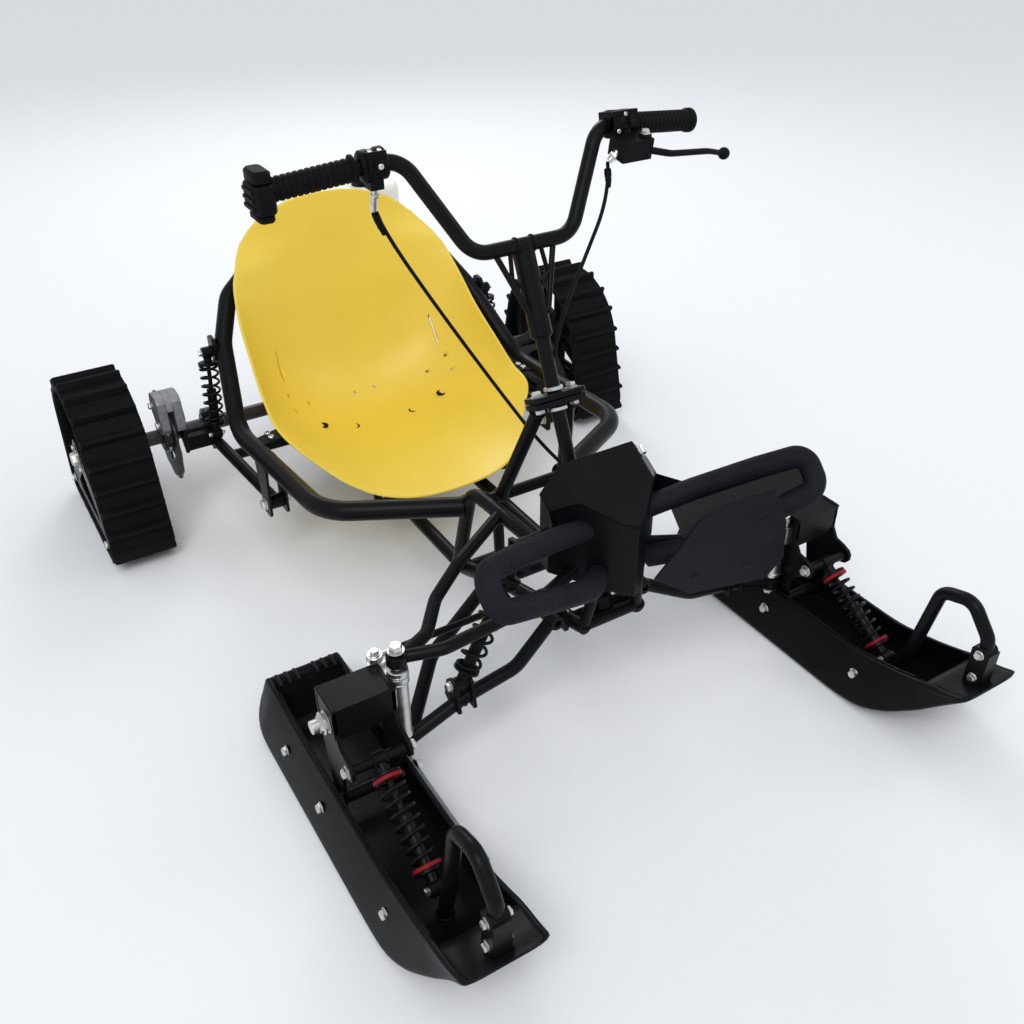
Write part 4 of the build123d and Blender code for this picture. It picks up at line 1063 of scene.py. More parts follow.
def ski_ring(middle, y, low, rim, floor):
    """Section of the ski across the way: outer face, rolled rim and the tub inside."""
    foot = flank_half(low)
    taper = max(0.0, (-700.0 - y) / 80.0)
    foot -= 6.0 * taper * taper
    top = flank_half(rim) - 5.0 * taper * taper
    wall = sizes().ski_wall
    solid = rim - floor < 6
    half = [(foot * 0.5, low), (foot - 12, low), (foot - 4, low + 1.5),
            (foot - 0.5, low + min(6, (rim - low) * 0.3))]
    swell = 0.0 if solid else 2.5
    for t in (0.3, 0.55, 0.8):
        half.append((foot + (top - foot) * t + swell * math.sin(math.pi * t), low + (rim - low) * t))
    half += [(top + 1.5, rim - 4), (top + 0.5, rim - 1), (top - 2, rim), (top - wall + 2, rim),
             (top - wall, rim - 1.5)]
    inner = top - wall
    deep = max(floor, low + 1)
    for t in (0.35, 0.7):
        half.append((inner + (0 if solid else (foot - 14 - inner) * t * 0.8), rim + (deep - rim) * t))
    half += [(inner if solid else inner + 10, deep + 1), (inner * 0.5, deep)]
    ring = [(middle + x, y, z) for x, z in half]
    ring += [(middle - x, y, z) for x, z in reversed(half)]
    return ring


def ski_tub(side, tag):
    """Moulded tub with its rim beads, keels, heel ribs and bolts."""
    middle = side * SKI_MIDDLE
    ride_on = "ski_set_" + tag
    body = Shape().loft([ski_ring(middle, *station) for station in SKI_STATIONS])
    ski = body.make("ski_tub_" + tag, "ski", "ski_plastic", ride_on, ["ski_" + tag], 0, 38)
    smooth = ski.modifiers.new("smooth", "SUBSURF")
    smooth.levels = 1
    smooth.render_levels = 1
    beads = Shape()
    for way in (1, -1):
        beads.tube([(middle + way * (flank_half(rim) - 7.0), y, rim + 0.6)
                    for y, low, rim, floor in SKI_STATIONS[5:18]], 1.7, 8)
        beads.tube([(middle + way * 30, y, low + 3.0)
                    for y, low, rim, floor in SKI_STATIONS[6:19]], 3.0, 10)
        for number in range(3):
            x = middle + way * (16 + number * 15)
            beads.tube([(x, y, z) for y, z in HEEL_RIB], 3.4, 10)
    beads.make("ski_beads_" + tag, "ski", "ski_plastic", ride_on)
    bolts = Shape()
    for y, z in (LEG_PIN, SKI_DAMPER_PIN, (-250, 44)):
        bolts.bolt_pair(middle, flank_half(z) + 0.5, y, z, 13)
    bolts.make("ski_bolts_" + tag, "zinc", "zinc_steel", ride_on)


def tow_loop(side, tag):
    """Tube loop at the tip of a ski, with its clamp."""
    middle = side * SKI_MIDDLE
    ride_on = "ski_set_" + tag
    loop = Shape()
    loop.tube(rounded_run([(middle, y, z) for y, z in TOW_LOOP], [60, 26, 26, 26]), 10.5, 24)
    loop.weld((middle, -612, 24), (0, 0, 1), 11)
    loop.box((middle, -749, 150), (26, 30, 80))
    for level in (132, 186):
        loop.rod((middle - 14, -749, level), (middle + 14, -749, level), 12)
    loop.make("ski_loop_tube_" + tag, "frame", "frame_paint", ride_on, ["ski_loop_" + tag], 1.2)
    screws = Shape()
    for level in (140, 184):
        screws.bolt_pair(middle, 13, -749, level, 11)
    screws.make("ski_loop_bolts_" + tag, "zinc", "zinc_steel", ride_on)


class KART_OT_skis(bpy.types.Operator):
    """Moulded ski tubs with rim beads, heel ribs and carrying loops"""
    bl_idname = "kart.skis"
    bl_label = "Skis"

    def execute(self, context):
        for side, tag in SIDES:
            ski_tub(side, tag)
            tow_loop(side, tag)
        return {"FINISHED"}


# side view of a leg plate, as (y, z)
LEG_OUTLINE = [(-398, 236), (-340, 236), (-338, 226), (-342, 165), (-362, 60), (-367, 40), (-374, 33),
               (-382, 30), (-390, 33), (-396, 41), (-399, 60), (-404, 118), (-424, 132), (-440, 138),
               (-446, 146), (-446, 156), (-440, 164), (-428, 169), (-410, 173), (-398, 192)]


def ski_leg(side, tag):
    """Two side plates, cap and pins between kingpin and ski."""
    middle = side * SKI_MIDDLE
    ride_on = "ski_set_" + tag
    leg = Shape()
    for low in (-47, 41):
        leg.plate(middle + low, LEG_OUTLINE, 6)
    leg.box((middle, -369, 232), (96, 60, 5))
    leg.box((middle, -396, 206), (96, 4, 54))
    leg.box((middle, -343, 206), (96, 4, 54))
    for pin, radius in ((LEG_PIN, 10), (LEG_DAMPER_PIN, 8)):
        leg.rod((middle - 40, *pin), (middle + 40, *pin), radius)
    leg.make("leg_plates_" + tag, "frame", "frame_paint", ride_on, ["ski_leg_" + tag], 1.4)
    pins = Shape()
    pins.bolt_pair(middle, 47, *LEG_DAMPER_PIN, 14)
    pins.bolt_pair(middle, 47, *LEG_PIN, 16)
    pins.make("leg_bolts_" + tag, "zinc", "zinc_steel", ride_on)


def steering_knuckle(side, tag):
    """Plated kingpin with its stub axle and steering arm."""
    ride_on = "ski_set_" + tag
    knuckle = Shape()
    x, y = side * KINGPIN[0], KINGPIN[1]
    knuckle.lathe((x, y, 84), (x, y, 276), [
        (6, 0), (7, 1), (7, 28), (14, 29), (15.5, 30), (15.5, 36), (14, 37), (14, 148), (15.5, 149),
        (15.5, 157), (14, 158), (7, 159), (7, 190), (6, 191)], 36)
    for base, up in ((274, 1), (84, -1)):
        knuckle.hex_bolt((x, y, base), (0, 0, up), 18)
    knuckle.lathe((x, y, STUB_HEIGHT), (side * 498, y, STUB_HEIGHT), [
        (10, 0), (10, 115), (10, 116), (17, 117), (17, 119), (10, 120), (10, 134), (8.5, 135)], 30)
    pin_x, pin_y = side * STEERING_PIN[0], STEERING_PIN[1]
    heading = math.atan2(37, 17)
    arm = []
    for centre_x, centre_y, radius, first in ((x, y, 16, 0.5), (pin_x, pin_y, 12, -0.5)):
        for k in range(25):
            a = math.pi * (first + k / 24) + heading
            arm.append((centre_x + side * radius * math.cos(a), centre_y + radius * math.sin(a), 222))
    knuckle.prism(arm, (0, 0, 8))
    for z in (219, 233):
        knuckle.weld((x, y, z), (0, 0, 1), 14, 2.0)
    knuckle.box((x + side * 22, y, STUB_HEIGHT), (24, 24, 34))
    knuckle.make("knuckle_plated_" + tag, "zinc", "zinc_steel", ride_on, ["knuckle_" + tag], 0.6)
    nut = Shape()
    nut.hex_bolt((side * 474, y, STUB_HEIGHT), (side, 0, 0), 24)
    nut.hex_bolt((pin_x, pin_y, 222), (0, 0, -1), 14)
    nut.make("stub_nuts_" + tag, "zinc", "zinc_steel", ride_on)


def tie_rod(side, tag):
    """Tube from the pitman ball to the steering arm, with its ball ends."""
    rod = Shape()
    ball, outer = (Vector(p) for p in mirrored([PITMAN_BALL, STEERING_PIN], side))
    run = (outer - ball).normalized()
    rod.rod(ball + run * 34, outer - run * 34, 5.5)
    ride_on = "tie_rod_" + tag
    rod.make("tie_rod_tube_" + tag, "frame", "frame_paint", ride_on, ["tie_rod_" + tag])
    ends = Shape()
    turn = Vector((-side * 0.0596, 0.446, 0.893)).normalized()
    for centre, way, axis in ((ball, 1, turn), (outer, -1, Vector((0, 0, 1)))):
        ends.rod(centre + run * way * 10, centre + run * way * 36, 4.6)
        ends.hex_bolt(centre + run * way * 26, run * way, 12, False)
        ends.ring(centre - axis * 5, centre + axis * 5, 12.2, 8.2, 32)
    ends.ball(outer, 8.0, 20, 0.72)
    ends.hex_bolt(outer + Vector((0, 0, 5)), (0, 0, 1), 12)
    ends.make("tie_rod_ends_" + tag, "zinc", "zinc_steel", ride_on)


class KART_OT_legs(bpy.types.Operator):
    """Ski legs, the plated steering knuckles and the tie rods"""
    bl_idname = "kart.legs"
    bl_label = "Legs, knuckles and tie rods"

    def execute(self, context):
        for side, tag in SIDES:
            ski_leg(side, tag)
            steering_knuckle(side, tag)
            tie_rod(side, tag)
        return {"FINISHED"}


def hull_line(circles, arc_step=4.0):
    """Belt line round circles in the side plane, as (y, z, outward y, outward z), counter-clockwise."""
    spots = []
    count = len(circles)
    headings = []
    for number in range(count):
        y0, z0, r0 = circles[number]
        y1, z1, r1 = circles[(number + 1) % count]
        distance = math.hypot(y1 - y0, z1 - z0)
        headings.append(math.atan2(z1 - z0, y1 - y0) - math.pi / 2 + math.asin((r0 - r1) / distance))
    for number in range(count):
        y, z, radius = circles[number]
        start, stop = headings[number - 1], headings[number]
        while stop < start:
            stop += math.tau
        parts = max(2, int(math.degrees(stop - start) / arc_step))
        for part in range(parts + 1):
            a = start + (stop - start) * part / parts
            spots.append((y + radius * math.cos(a), z + radius * math.sin(a), math.cos(a), math.sin(a)))
    return spots


def along_loop(spots, count, offset=0.0):
    """Evenly spaced places on a belt line."""
    lengths = [0.0]
    total = len(spots)
    for number in range(total):
        a, b = spots[number], spots[(number + 1) % total]
        lengths.append(lengths[-1] + math.hypot(b[0] - a[0], b[1] - a[1]))
    places = []
    for k in range(count):
        want = lengths[-1] * ((k + offset) % count) / count
        index = max(i for i in range(total) if lengths[i] <= want)
        a, b = spots[index], spots[(index + 1) % total]
        share = (want - lengths[index]) / max(lengths[index + 1] - lengths[index], 1e-6)
        places.append(tuple(a[i] + (b[i] - a[i]) * share for i in range(4)))
    return places, lengths[-1]


def three_circles(reach, height, radius, top_height, top_radius):
    """Two equal circles below and one in the middle above, as hull_line takes them."""
    lower = [(AXLE[0] + end * reach, height, radius) for end in (-1, 1)]
    return lower + [(AXLE[0], top_height, top_radius)]


# section of the belt as (x, outward), a cleat's and a drive lug's as (along the belt, outward)
BELT_SECTION = [(-58, 0.5), (58, 0.5), (60.5, 2.5), (61, 5), (60.5, 8.5), (58, 10), (-58, 10),
                (-60.5, 8.5), (-61, 5), (-60.5, 2.5)]
DRIVE_LUG = [(-7.0, -2.0), (-4.0, 6.0), (4.0, 6.0), (7.0, -2.0)]
CLEAT_BASE = 9.5


def cleat_section(height, pinch):
    half = [(-9.5 + pinch, -2.0), (-8.0 + pinch, 3.0), (-4.5 + pinch, height - 2.5), (-3.0 + pinch, height)]
    return half + [(-a, b) for a, b in reversed(half)]


def track_belt(side, tag):
    """Belt with cleats outside and drive lugs inside."""
    s = sizes()
    middle = side * TRACK_MIDDLE
    inside = hull_line(three_circles(ROLLER_REACH, ROLLER_HEIGHT, 26.0, AXLE[1], 140.0))
    band = Shape()
    band.loft([[(middle + x, y + ny * out, z + nz * out) for x, out in BELT_SECTION]
               for y, z, ny, nz in inside], False, True)
    outside = [(y + ny * CLEAT_BASE, z + nz * CLEAT_BASE, ny, nz) for y, z, ny, nz in inside]
    for y, z, ny, nz in along_loop(outside, s.lug_count, 0.5)[0]:
        along = Vector((0, -nz, ny)).normalized()
        out = Vector((0, ny, nz)).normalized()
        rings = []
        for x in (-59.5, -57.5, 57.5, 59.5):
            pinch = 1.5 if abs(x) > 58 else 0.0
            spine = Vector((middle + x, y, z))
            rings.append([spine + along * a + out * max(b - pinch, -2.0)
                          for a, b in cleat_section(s.lug_height, pinch)])
        band.loft(rings)
        inner = Vector((middle, y, z)) - out * CLEAT_BASE
        for ends in ((-54, -45), (45, 54)):
            band.loft([[inner + Vector((x, 0, 0)) + along * a - out * b for a, b in DRIVE_LUG]
                       for x in ends])
    for x in (-58.0, 58.0):
        edge = [(middle + x, y + ny * 8.0, z + nz * 8.0) for y, z, ny, nz in inside]
        band.tube(edge, 3.2, 10, True)
    band.make("track_belt_" + tag, "track", "track_rubber", "chassis", ["track_" + tag], 0.0, 30)


def track_wheels(side, tag):
    """Large driven wheel and four rollers."""
    middle = side * TRACK_MIDDLE
    wheel = Shape()
    y, z = AXLE
    wheel.ring((middle - 40, y, z), (middle + 40, y, z), 139.4, 128, 96, 1.5)
    for x in (-40, 34):
        wheel.ring((middle + x, y, z), (middle + x + 6, y, z), 131, 118, 96)
    wheel.spokes(6, (middle - 6, y, z), [(24, -17), (70, -12), (127, -24), (129, 0), (127, 24),
                                         (70, 12), (24, 17)], 12, 0.5)
    wheel.spokes(6, (middle - 16, y, z), [(24, -3), (127, -3), (127, 3), (24, 3)], 32, 0.5)
    wheel.lathe((middle - 57, y, z), (middle + 57, y, z), [
        (15.5, 0), (26, 0), (28, 2), (28, 14), (34, 20), (34, 94), (28, 100), (28, 112), (26, 114),
        (15.5, 114)], 48)
    for end in (-1, 1):
        spot = (y + end * ROLLER_REACH, ROLLER_HEIGHT)
        for a, b in ((-46, -16), (16, 46)):
            wheel.ring((middle + a, *spot), (middle + b, *spot), 25.6, 9, 40, 2.0)
        wheel.rod((middle - 58, *spot), (middle + 58, *spot), 8)
    wheel.make("track_wheel_" + tag, "wheel", "wheel_black", "chassis", ["track_wheels_" + tag])


def track_frame(side, tag):
    """Open plates that hold the rollers, and their bolts."""
    middle = side * TRACK_MIDDLE
    y, z = AXLE
    # the hole has as many points as the outline
    plates = Shape()
    outline = hull_line(three_circles(ROLLER_REACH, ROLLER_HEIGHT, 18.0, AXLE[1], 38.0), 9.0)
    hole = hull_line(three_circles(74.0, 72.0, 12.0, 122.0, 16.0), 9.0)
    for x in (-56, 49):
        plates.loft([[(middle + x + b, spot[0], spot[1]) for spot in a]
                     for a, b in ((outline, 0), (outline, 7), (hole, 7), (hole, 0))], False, True)
    plates.make("track_frame_" + tag, "frame", "frame_paint", "chassis", (), 0.8)
    bolts = Shape()
    for end in (-1, 1):
        bolts.bolt_pair(middle, 57, y + end * ROLLER_REACH, ROLLER_HEIGHT, 13)
    for k in range(4):
        a = math.tau * (k + 0.5) / 4
        bolts.bolt_pair(middle, 56, y + 24 * math.cos(a), z + 24 * math.sin(a), 8)
    bolts.hex_bolt((side * 604, y, z), (side, 0, 0), 24)
    bolts.make("track_bolts_" + tag, "zinc", "zinc_steel", "chassis")


class KART_OT_tracks(bpy.types.Operator):
    """Rubber tracks with cleats and drive lugs, and their wheels"""
    bl_idname = "kart.tracks"
    bl_label = "Tracks"

    def execute(self, context):
        for side, tag in SIDES:
            track_belt(side, tag)
            track_wheels(side, tag)
            track_frame(side, tag)
        return {"FINISHED"}


def toothed(centre, x_low, x_high, root, tip, teeth, bore):
    """Rings of a sprocket with a real bore, to be lofted closed."""
    count = teeth * 4
    rings = []
    for x, kind in ((x_low, "bore"), (x_low, "rim"), (x_high, "rim"), (x_high, "bore")):
        ring = []
        for k in range(count):
            a = math.tau * k / count
            radius = bore if kind == "bore" else (tip if k % 4 in (1, 2) else root)
            ring.append((x, centre[0] + radius * math.cos(a), centre[1] + radius * math.sin(a)))
        rings.append(ring)
    return rings


def rear_axle():
    """Axle with its sprocket and waved brake disc."""
    y, z = AXLE
    axle = Shape()
    axle.rod((-606, y, z), (606, y, z), 15, 36, 1.5)
    axle.loft(toothed(AXLE, 282, 288, 62, 66, 33, 40), False, True)
    axle.spokes(6, (282, y, z), [(20, -8), (42, -6), (42, 6), (20, 8)], 6)
    axle.ring((273, y, z), (297, y, z), 28, 15.1, 40)
    axle.ring((-439, y, z), (-411, y, z), 32, 15.1, 40)
    # brake disc with a waved rim
    rings = []
    for x, rim in ((-427.5, False), (-427.5, True), (-422.5, True), (-422.5, False)):
        ring = []
        for k in range(144):
            a = math.tau * k / 144
            radius = 92.5 + 2.0 * math.cos(12 * a) if rim else 52.0
            ring.append((x, y + radius * math.cos(a), z + radius * math.sin(a)))
        rings.append(ring)
    axle.loft(rings, False, True)
    axle.spokes(6, (-427, y, z), [(28, -7), (54, -5), (54, 5), (28, 7)], 4, 0.5)
    axle.make("axle_steel", "steel", "dark_steel", "chassis", ["rear_axle"], 0.4)
    bolts = Shape()
    for k in range(6):
        a = math.tau * k / 6
        bolts.hex_bolt((288, y + 34 * math.cos(a), z + 34 * math.sin(a)), (1, 0, 0), 8)
        bolts.hex_bolt((-427.5, y + 34 * math.cos(a + 0.52), z + 34 * math.sin(a + 0.52)), (-1, 0, 0), 8)
    bolts.make("axle_bolts", "zinc", "zinc_steel", "chassis")


def drive_chain():
    """Chain links from the clutch to the axle."""
    y, z = AXLE
    links = Shape()
    line = hull_line([(y, z, 68.0), (*CLUTCH, 22.5)], 6.0)
    _, length = along_loop(line, 4)
    count = int(round(length / CHAIN_PITCH / 2)) * 2
    places, _ = along_loop(line, count)
    for number, place in enumerate(places):
        following = places[(number + 1) % count]
        a, b = Vector((0, place[0], place[1])), Vector((0, following[0], following[1]))
        run = (b - a).normalized()
        cross = Vector((0, -run.z, run.y))
        outline = []
        for centre, base in ((b, -90), (a, 90)):
            for step in range(6):
                t = math.radians(base + step * 36)
                outline.append(centre + run * math.cos(t) * 4.0 + cross * math.sin(t) * 4.0)
        near = 3.3 if number % 2 == 0 else 2.0
        for x in (CHAIN_X + near - 0.6, CHAIN_X - near - 0.6):
            links.prism([(x, p.y, p.z) for p in outline], (1.2, 0, 0))
        links.rod((CHAIN_X - 4.0, a.y, a.z), (CHAIN_X + 4.0, a.y, a.z), 2.2, 10, 0.2)
    links.make("chain_links", "steel", "dark_steel", "chassis", ["chain"])


def brake_caliper():
    """Caliper over the disc, and its holder."""
    caliper = Shape()
    crown = [(558, 286), (540, 291), (514, 290), (504, 280)]
    cheek = [(498, 226), (506, 214), (526, 206), (544, 218), (564, 244), (566, 270)]
    for x in (-449, -419):
        caliper.plate(x, cheek + crown, 18)
    caliper.plate(-432, [(500, 262), (566, 262)] + crown, 14)
    caliper.make("caliper_body", "alloy", "engine_metal", "chassis", ["brake_caliper"], 1.6)
    holder = Shape()
    holder.plate(-407, [(524, 150), (560, 192), (566, 246), (512, 258), (506, 240)], 8)
    holder.plate(-403, [(530, 150), (556, 150), (560, 176), (536, 178)], 56)
    holder.make("caliper_holder", "frame", "frame_paint", "chassis", (), 1.0)
    screws = Shape()
    for py, pz in ((516, 232), (548, 262)):
        screws.hex_bolt((-449, py, pz), (-1, 0, 0), 12)
    screws.make("caliper_bolts", "zinc", "zinc_steel", "chassis")


class KART_OT_drive(bpy.types.Operator):
    """Axle, sprockets, chain links, brake disc and caliper"""
    bl_idname = "kart.drive"
    bl_label = "Axle and chain"

    def execute(self, context):
        rear_axle()
        drive_chain()
        brake_caliper()
        return {"FINISHED"}


def engine_body():
    """Crankcase, finned cylinder and recoil starter."""
    x = ENGINE_X
    block = Shape()
    block.box((x, 726, 262), (176, 82, 120))
    block.box((x, 726, 328), (150, 72, 20))
    block.box((x, 726, 197), (212, 90, 12))
    for k in range(5):
        for y in (683.5, 767.5):
            block.box((x - 70 + k * 35, y, 262), (6, 4, 100))
    block.rod((x + 20, 728, 334), (x + 20, 728, 450), 31, 40)
    block.make("engine_block", "alloy", "engine_metal", "chassis", ["engine"], 3.0)
    fins = Shape()
    for level in range(8):
        fins.box((x + 20, 728, 345 + level * 11.5), (116 - abs(level - 3) * 1.5, 88, 2.6))
    fins.box((x + 20, 728, 440), (84, 66, 18))
    fins.make("engine_fins", "alloy", "engine_metal", "chassis", (), 0.9)
    starter = Shape()
    starter.lathe((x - 88, 728, 290), (x - 132, 728, 290), [(40, 0), (43, 3), (43, 26), (38, 38),
                                                            (20, 42), (8, 43)], 48)
    starter.spokes(12, (x - 126, 728, 290), [(14, -1.6), (37, -3), (37, 3), (14, 1.6)], -5)
    starter.box((x - 118, 770, 290), (12, 26, 10))
    starter.box((x + 20, 684, 300), (70, 10, 54))
    starter.make("engine_starter", "panel", "frame_paint", "chassis", (), 0.8)


def exhaust_and_clutch():
    """Silencer, clutch and plug lead."""
    x = ENGINE_X
    exhaust = Shape()
    exhaust.tube(rounded_run([(x - 14, 740, 372), (x - 100, 740, 372), (x - 150, 735, 398)], [30]), 11)
    exhaust.lathe((x - 225, 735, 400), (x - 115, 735, 400), [(8, 0), (30, 2), (34, 6), (34, 104),
                                                             (30, 108), (8, 110)], 44)
    for along in (22, 86):
        exhaust.ring((x - 225 + along, 735, 400), (x - 219 + along, 735, 400), 35.2, 33.6, 44)
    exhaust.make("engine_exhaust", "steel", "dark_steel", "chassis")
    drive = Shape()
    drive.rod((x + 88, *CLUTCH), (293, *CLUTCH), 10)
    drive.lathe((251, *CLUTCH), (275, *CLUTCH), [(11, 0), (32, 0), (34, 2), (34, 22), (32, 24),
                                                 (11, 24)], 44)
    drive.loft(toothed(CLUTCH, 282, 288, 17.5, 21, 11, 9.5), False, True)
    drive.hex_bolt((293, *CLUTCH), (1, 0, 0), 17)
    drive.make("clutch", "steel", "dark_steel", "chassis", (), 0.5)
    plug = Shape()
    plug.rod((x + 20, 728, 449), (x + 20, 728, 461), 9)
    lead = [(x + 20, 728, 456), (x + 20, 712, 459), (x + 20, 690, 430), (x - 10, 686, 350)]
    plug.tube(rounded_run(lead, [6, 20]), 3.2, 12)
    plug.rod((x + 96, 744, 380), (x + 118, 744, 380), 22)
    plug.rod((x + 78, 740, 372), (x + 98, 744, 380), 12)
    plug.make("engine_fittings", "control", "control_plastic", "chassis")


def engine_mounts():
    """Mounting plates and bolts."""
    x = ENGINE_X
    mounts = Shape()
    mounts.box((0, 677, 210), (200, 8, 60))
    mounts.box((x, 683, 196), (200, 20, 12))
    mounts.make("engine_mounts", "frame", "frame_paint", "chassis", (), 1.0)
    bolts = Shape()
    for bx in (-90.16, -64.68, 64.68, 90.16):
        for bz in (192, 228):
            bolts.hex_bolt((bx, 673, bz), (0, -1, 0), 10)
    for bx in (x - 96, x + 96):
        for by in (696, 756):
            bolts.hex_bolt((bx, by, 203), (0, 0, 1), 11)
    bolts.make("engine_bolts", "zinc", "zinc_steel", "chassis")


def fuel_tank():
    """Blown tank with its cap and straps."""
    tank = Shape()
    rings = []
    for height, grow in ((0, -9), (2, -4), (8, -0.5), (18, 0), (48, 0), (50, 1.2), (54, 1.2), (56, 0),
                         (88, 0), (95, -2), (99, -6), (100, -12)):
        ring = []
        radius = 30 + grow
        for k in range(64):
            a = math.tau * k / 64
            end = 100 if math.cos(a) >= 0 else -100
            back = 6 if math.sin(a) >= 0 else -6
            ring.append((TANK_X + end + radius * math.cos(a), TANK_Y + back + radius * math.sin(a),
                         462 + height))
        rings.append(ring)
    tank.loft(rings)
    tank.make("tank_shell", "tank", "tank_white", "chassis", ["fuel_tank"], 0.0, 50)
    cap = Shape()
    ridges = []
    for height, radius, groove in ((554, 15, 0), (562, 15, 0), (562, 23, 0.9), (578, 24, 0.9),
                                   (580, 21, 0.9)):
        ring = []
        for k in range(48):
            a = math.tau * k / 48
            reach = radius - groove * (k % 2)
            ring.append((TANK_X + 50 + reach * math.cos(a), TANK_Y + reach * math.sin(a), height))
        ridges.append(ring)
    cap.loft(ridges)
    cap.make("tank_cap", "control", "control_plastic", "chassis")
    strap = Shape()
    strap.box((TANK_X, 701, 470), (150, 12, 14))
    for bx in (TANK_X - 60, TANK_X + 60):
        strap.box((bx, TANK_Y, 461), (14, 66, 3))
        strap.box((bx, 697.5, 510), (14, 2.4, 100))
        strap.box((bx, 770.5, 510), (14, 2.4, 100))
        strap.box((bx, TANK_Y, 562.5), (14, 72, 2.4))
    strap.make("tank_straps", "frame", "frame_paint", "chassis", (), 0.8)


class KART_OT_engine(bpy.types.Operator):
    """Small air-cooled engine with its clutch, silencer and tank"""
    bl_idname = "kart.engine"
    bl_label = "Engine and tank"

    def execute(self, context):
        engine_body()
        exhaust_and_clutch()
        engine_mounts()
        fuel_tank()
        return {"FINISHED"}


# left half of the handlebar, from its middle run to the end of the grip
BAR_HALF = [(85, -124, 706), (165, -68, 842), (356, -51, 822)]


def bar_tube():
    """Bent tube of the handlebar."""
    bar = Shape()
    line = mirrored(reversed(BAR_HALF), -1) + BAR_HALF
    bar.tube(rounded_run(line, 45, 6.0), sizes().bar_tube, 28)
    bar.make("bar_tube", "frame", "frame_paint", "steering", ["handlebar"])


def stem_and_column():
    """Column, stem sleeve with its gussets, and pitman plate."""
    stem = Shape()
    stem.rod(column_at(COLUMN_FOOT) - RAKE_DIR * 4, column_at(640), 11)
    low, high = column_at(SLEEVE_LOW), column_at(SLEEVE_HIGH)
    sleeve = (high - low).length
    stem.lathe(low, high, [(13, 0), (17, 2), (17, sleeve - 2), (15, sleeve)], 36)
    stem.weld(low, RAKE_DIR, 12)
    for side in (1, -1):
        stem.rod((side * 52, -124, 706), (side * 15, -170, 612), 4.5)
        stem.rod((side * 26, -128, 704), (side * 32, -146, 656), 3.5)
        stem.rod((side * 42, -140, 676), (side * 16, -150, 650), 3.5)
        stem.weld((side * 51, -125, 703), (side * 0.33, 0.41, 0.85), 4.6, 1.6, 20)
        stem.weld((side * 16, -169, 615), (side * 0.33, 0.41, 0.85), 4.6, 1.6, 20)
        stem.weld((side * 14, -124, 706), (1, 0, 0), 11.4, 2.0)
    origin = column_at(PITMAN_LEVEL)
    half = [(16, -16), (46, 30), (53, 38), (52, 48), (46, 53)]
    pitman = [(-16, -16)] + half + [(-a, b) for a, b in reversed(half[1:])]
    stem.prism([origin + Vector((px, 0, 0)) + RAKE_SIDE * py - RAKE_DIR * 3 for px, py in pitman],
               RAKE_DIR * 6)
    stem.weld(origin + RAKE_DIR * 3, RAKE_DIR, 11.4)
    stem.make("stem_and_column", "frame", "frame_paint", "steering", ["stem"], 0.5)
    studs = Shape()
    for side in (1, -1):
        foot = origin + RAKE_SIDE * 42 + Vector((side * 40, 0, 0))
        studs.rod(foot, foot + RAKE_DIR * 12, 4.5)
        studs.ball(foot + RAKE_DIR * 12, 8, 20)
        studs.hex_bolt(foot - RAKE_DIR * 3, -RAKE_DIR, 12)
    for height in (480, 508):
        studs.ring(column_at(height) - RAKE_DIR * 3, column_at(height) + RAKE_DIR * 3, 15, 11.1)
    studs.make("column_fittings", "zinc", "zinc_steel", "steering")


class KART_OT_steering(bpy.types.Operator):
    """Handlebar, stem with its gussets and the steering column"""
    bl_idname = "kart.steering"
    bl_label = "Steering"

    def execute(self, context):
        bar_tube()
        stem_and_column()
        return {"FINISHED"}


HOUSING_TILT = Matrix.Rotation(math.radians(-12), 3, "X")
EIGHT_CORNERS = [(-1, -0.7), (-0.7, -1), (0.7, -1), (1, -0.7), (1, 0.7), (0.7, 1), (-0.7, 1), (-1, 0.7)]
# routes of the two cables, each from its housing down to where it is tied
CABLES = {
    "throttle_cable": [(-200, -50, 776), (-180, -22, 736), (-98, -36, 592), (-18, -138, 432), (-4, -210, 394),
                       (0, -258, 388)],
    "brake_cable": [(170, -92, 792), (150, -128, 756), (76, -168, 676), (20, -186, 590), (10, -194, 540)]}


def cable(name, route):
    """A smooth round sheath along a route, riding on the steering."""
    curve = bpy.data.curves.new(name + "_line", "CURVE")
    curve.dimensions = "3D"
    curve.bevel_depth = 2.9 * MM
    curve.bevel_resolution = 4
    curve.resolution_u = 16
    spline = curve.splines.new("NURBS")
    spline.points.add(len(route) - 1)
    for point, (x, y, z) in zip(spline.points, route):
        point.co = (x * MM, y * MM, z * MM, 1.0)
    spline.order_u = 3
    spline.use_endpoint_u = True
    piece = bpy.data.objects.new(name + "_sheath", curve)
    bpy.context.scene.collection.objects.link(piece)
    curve.materials.append(finishes["cable"])
    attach(piece, "steering")
    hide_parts(name)


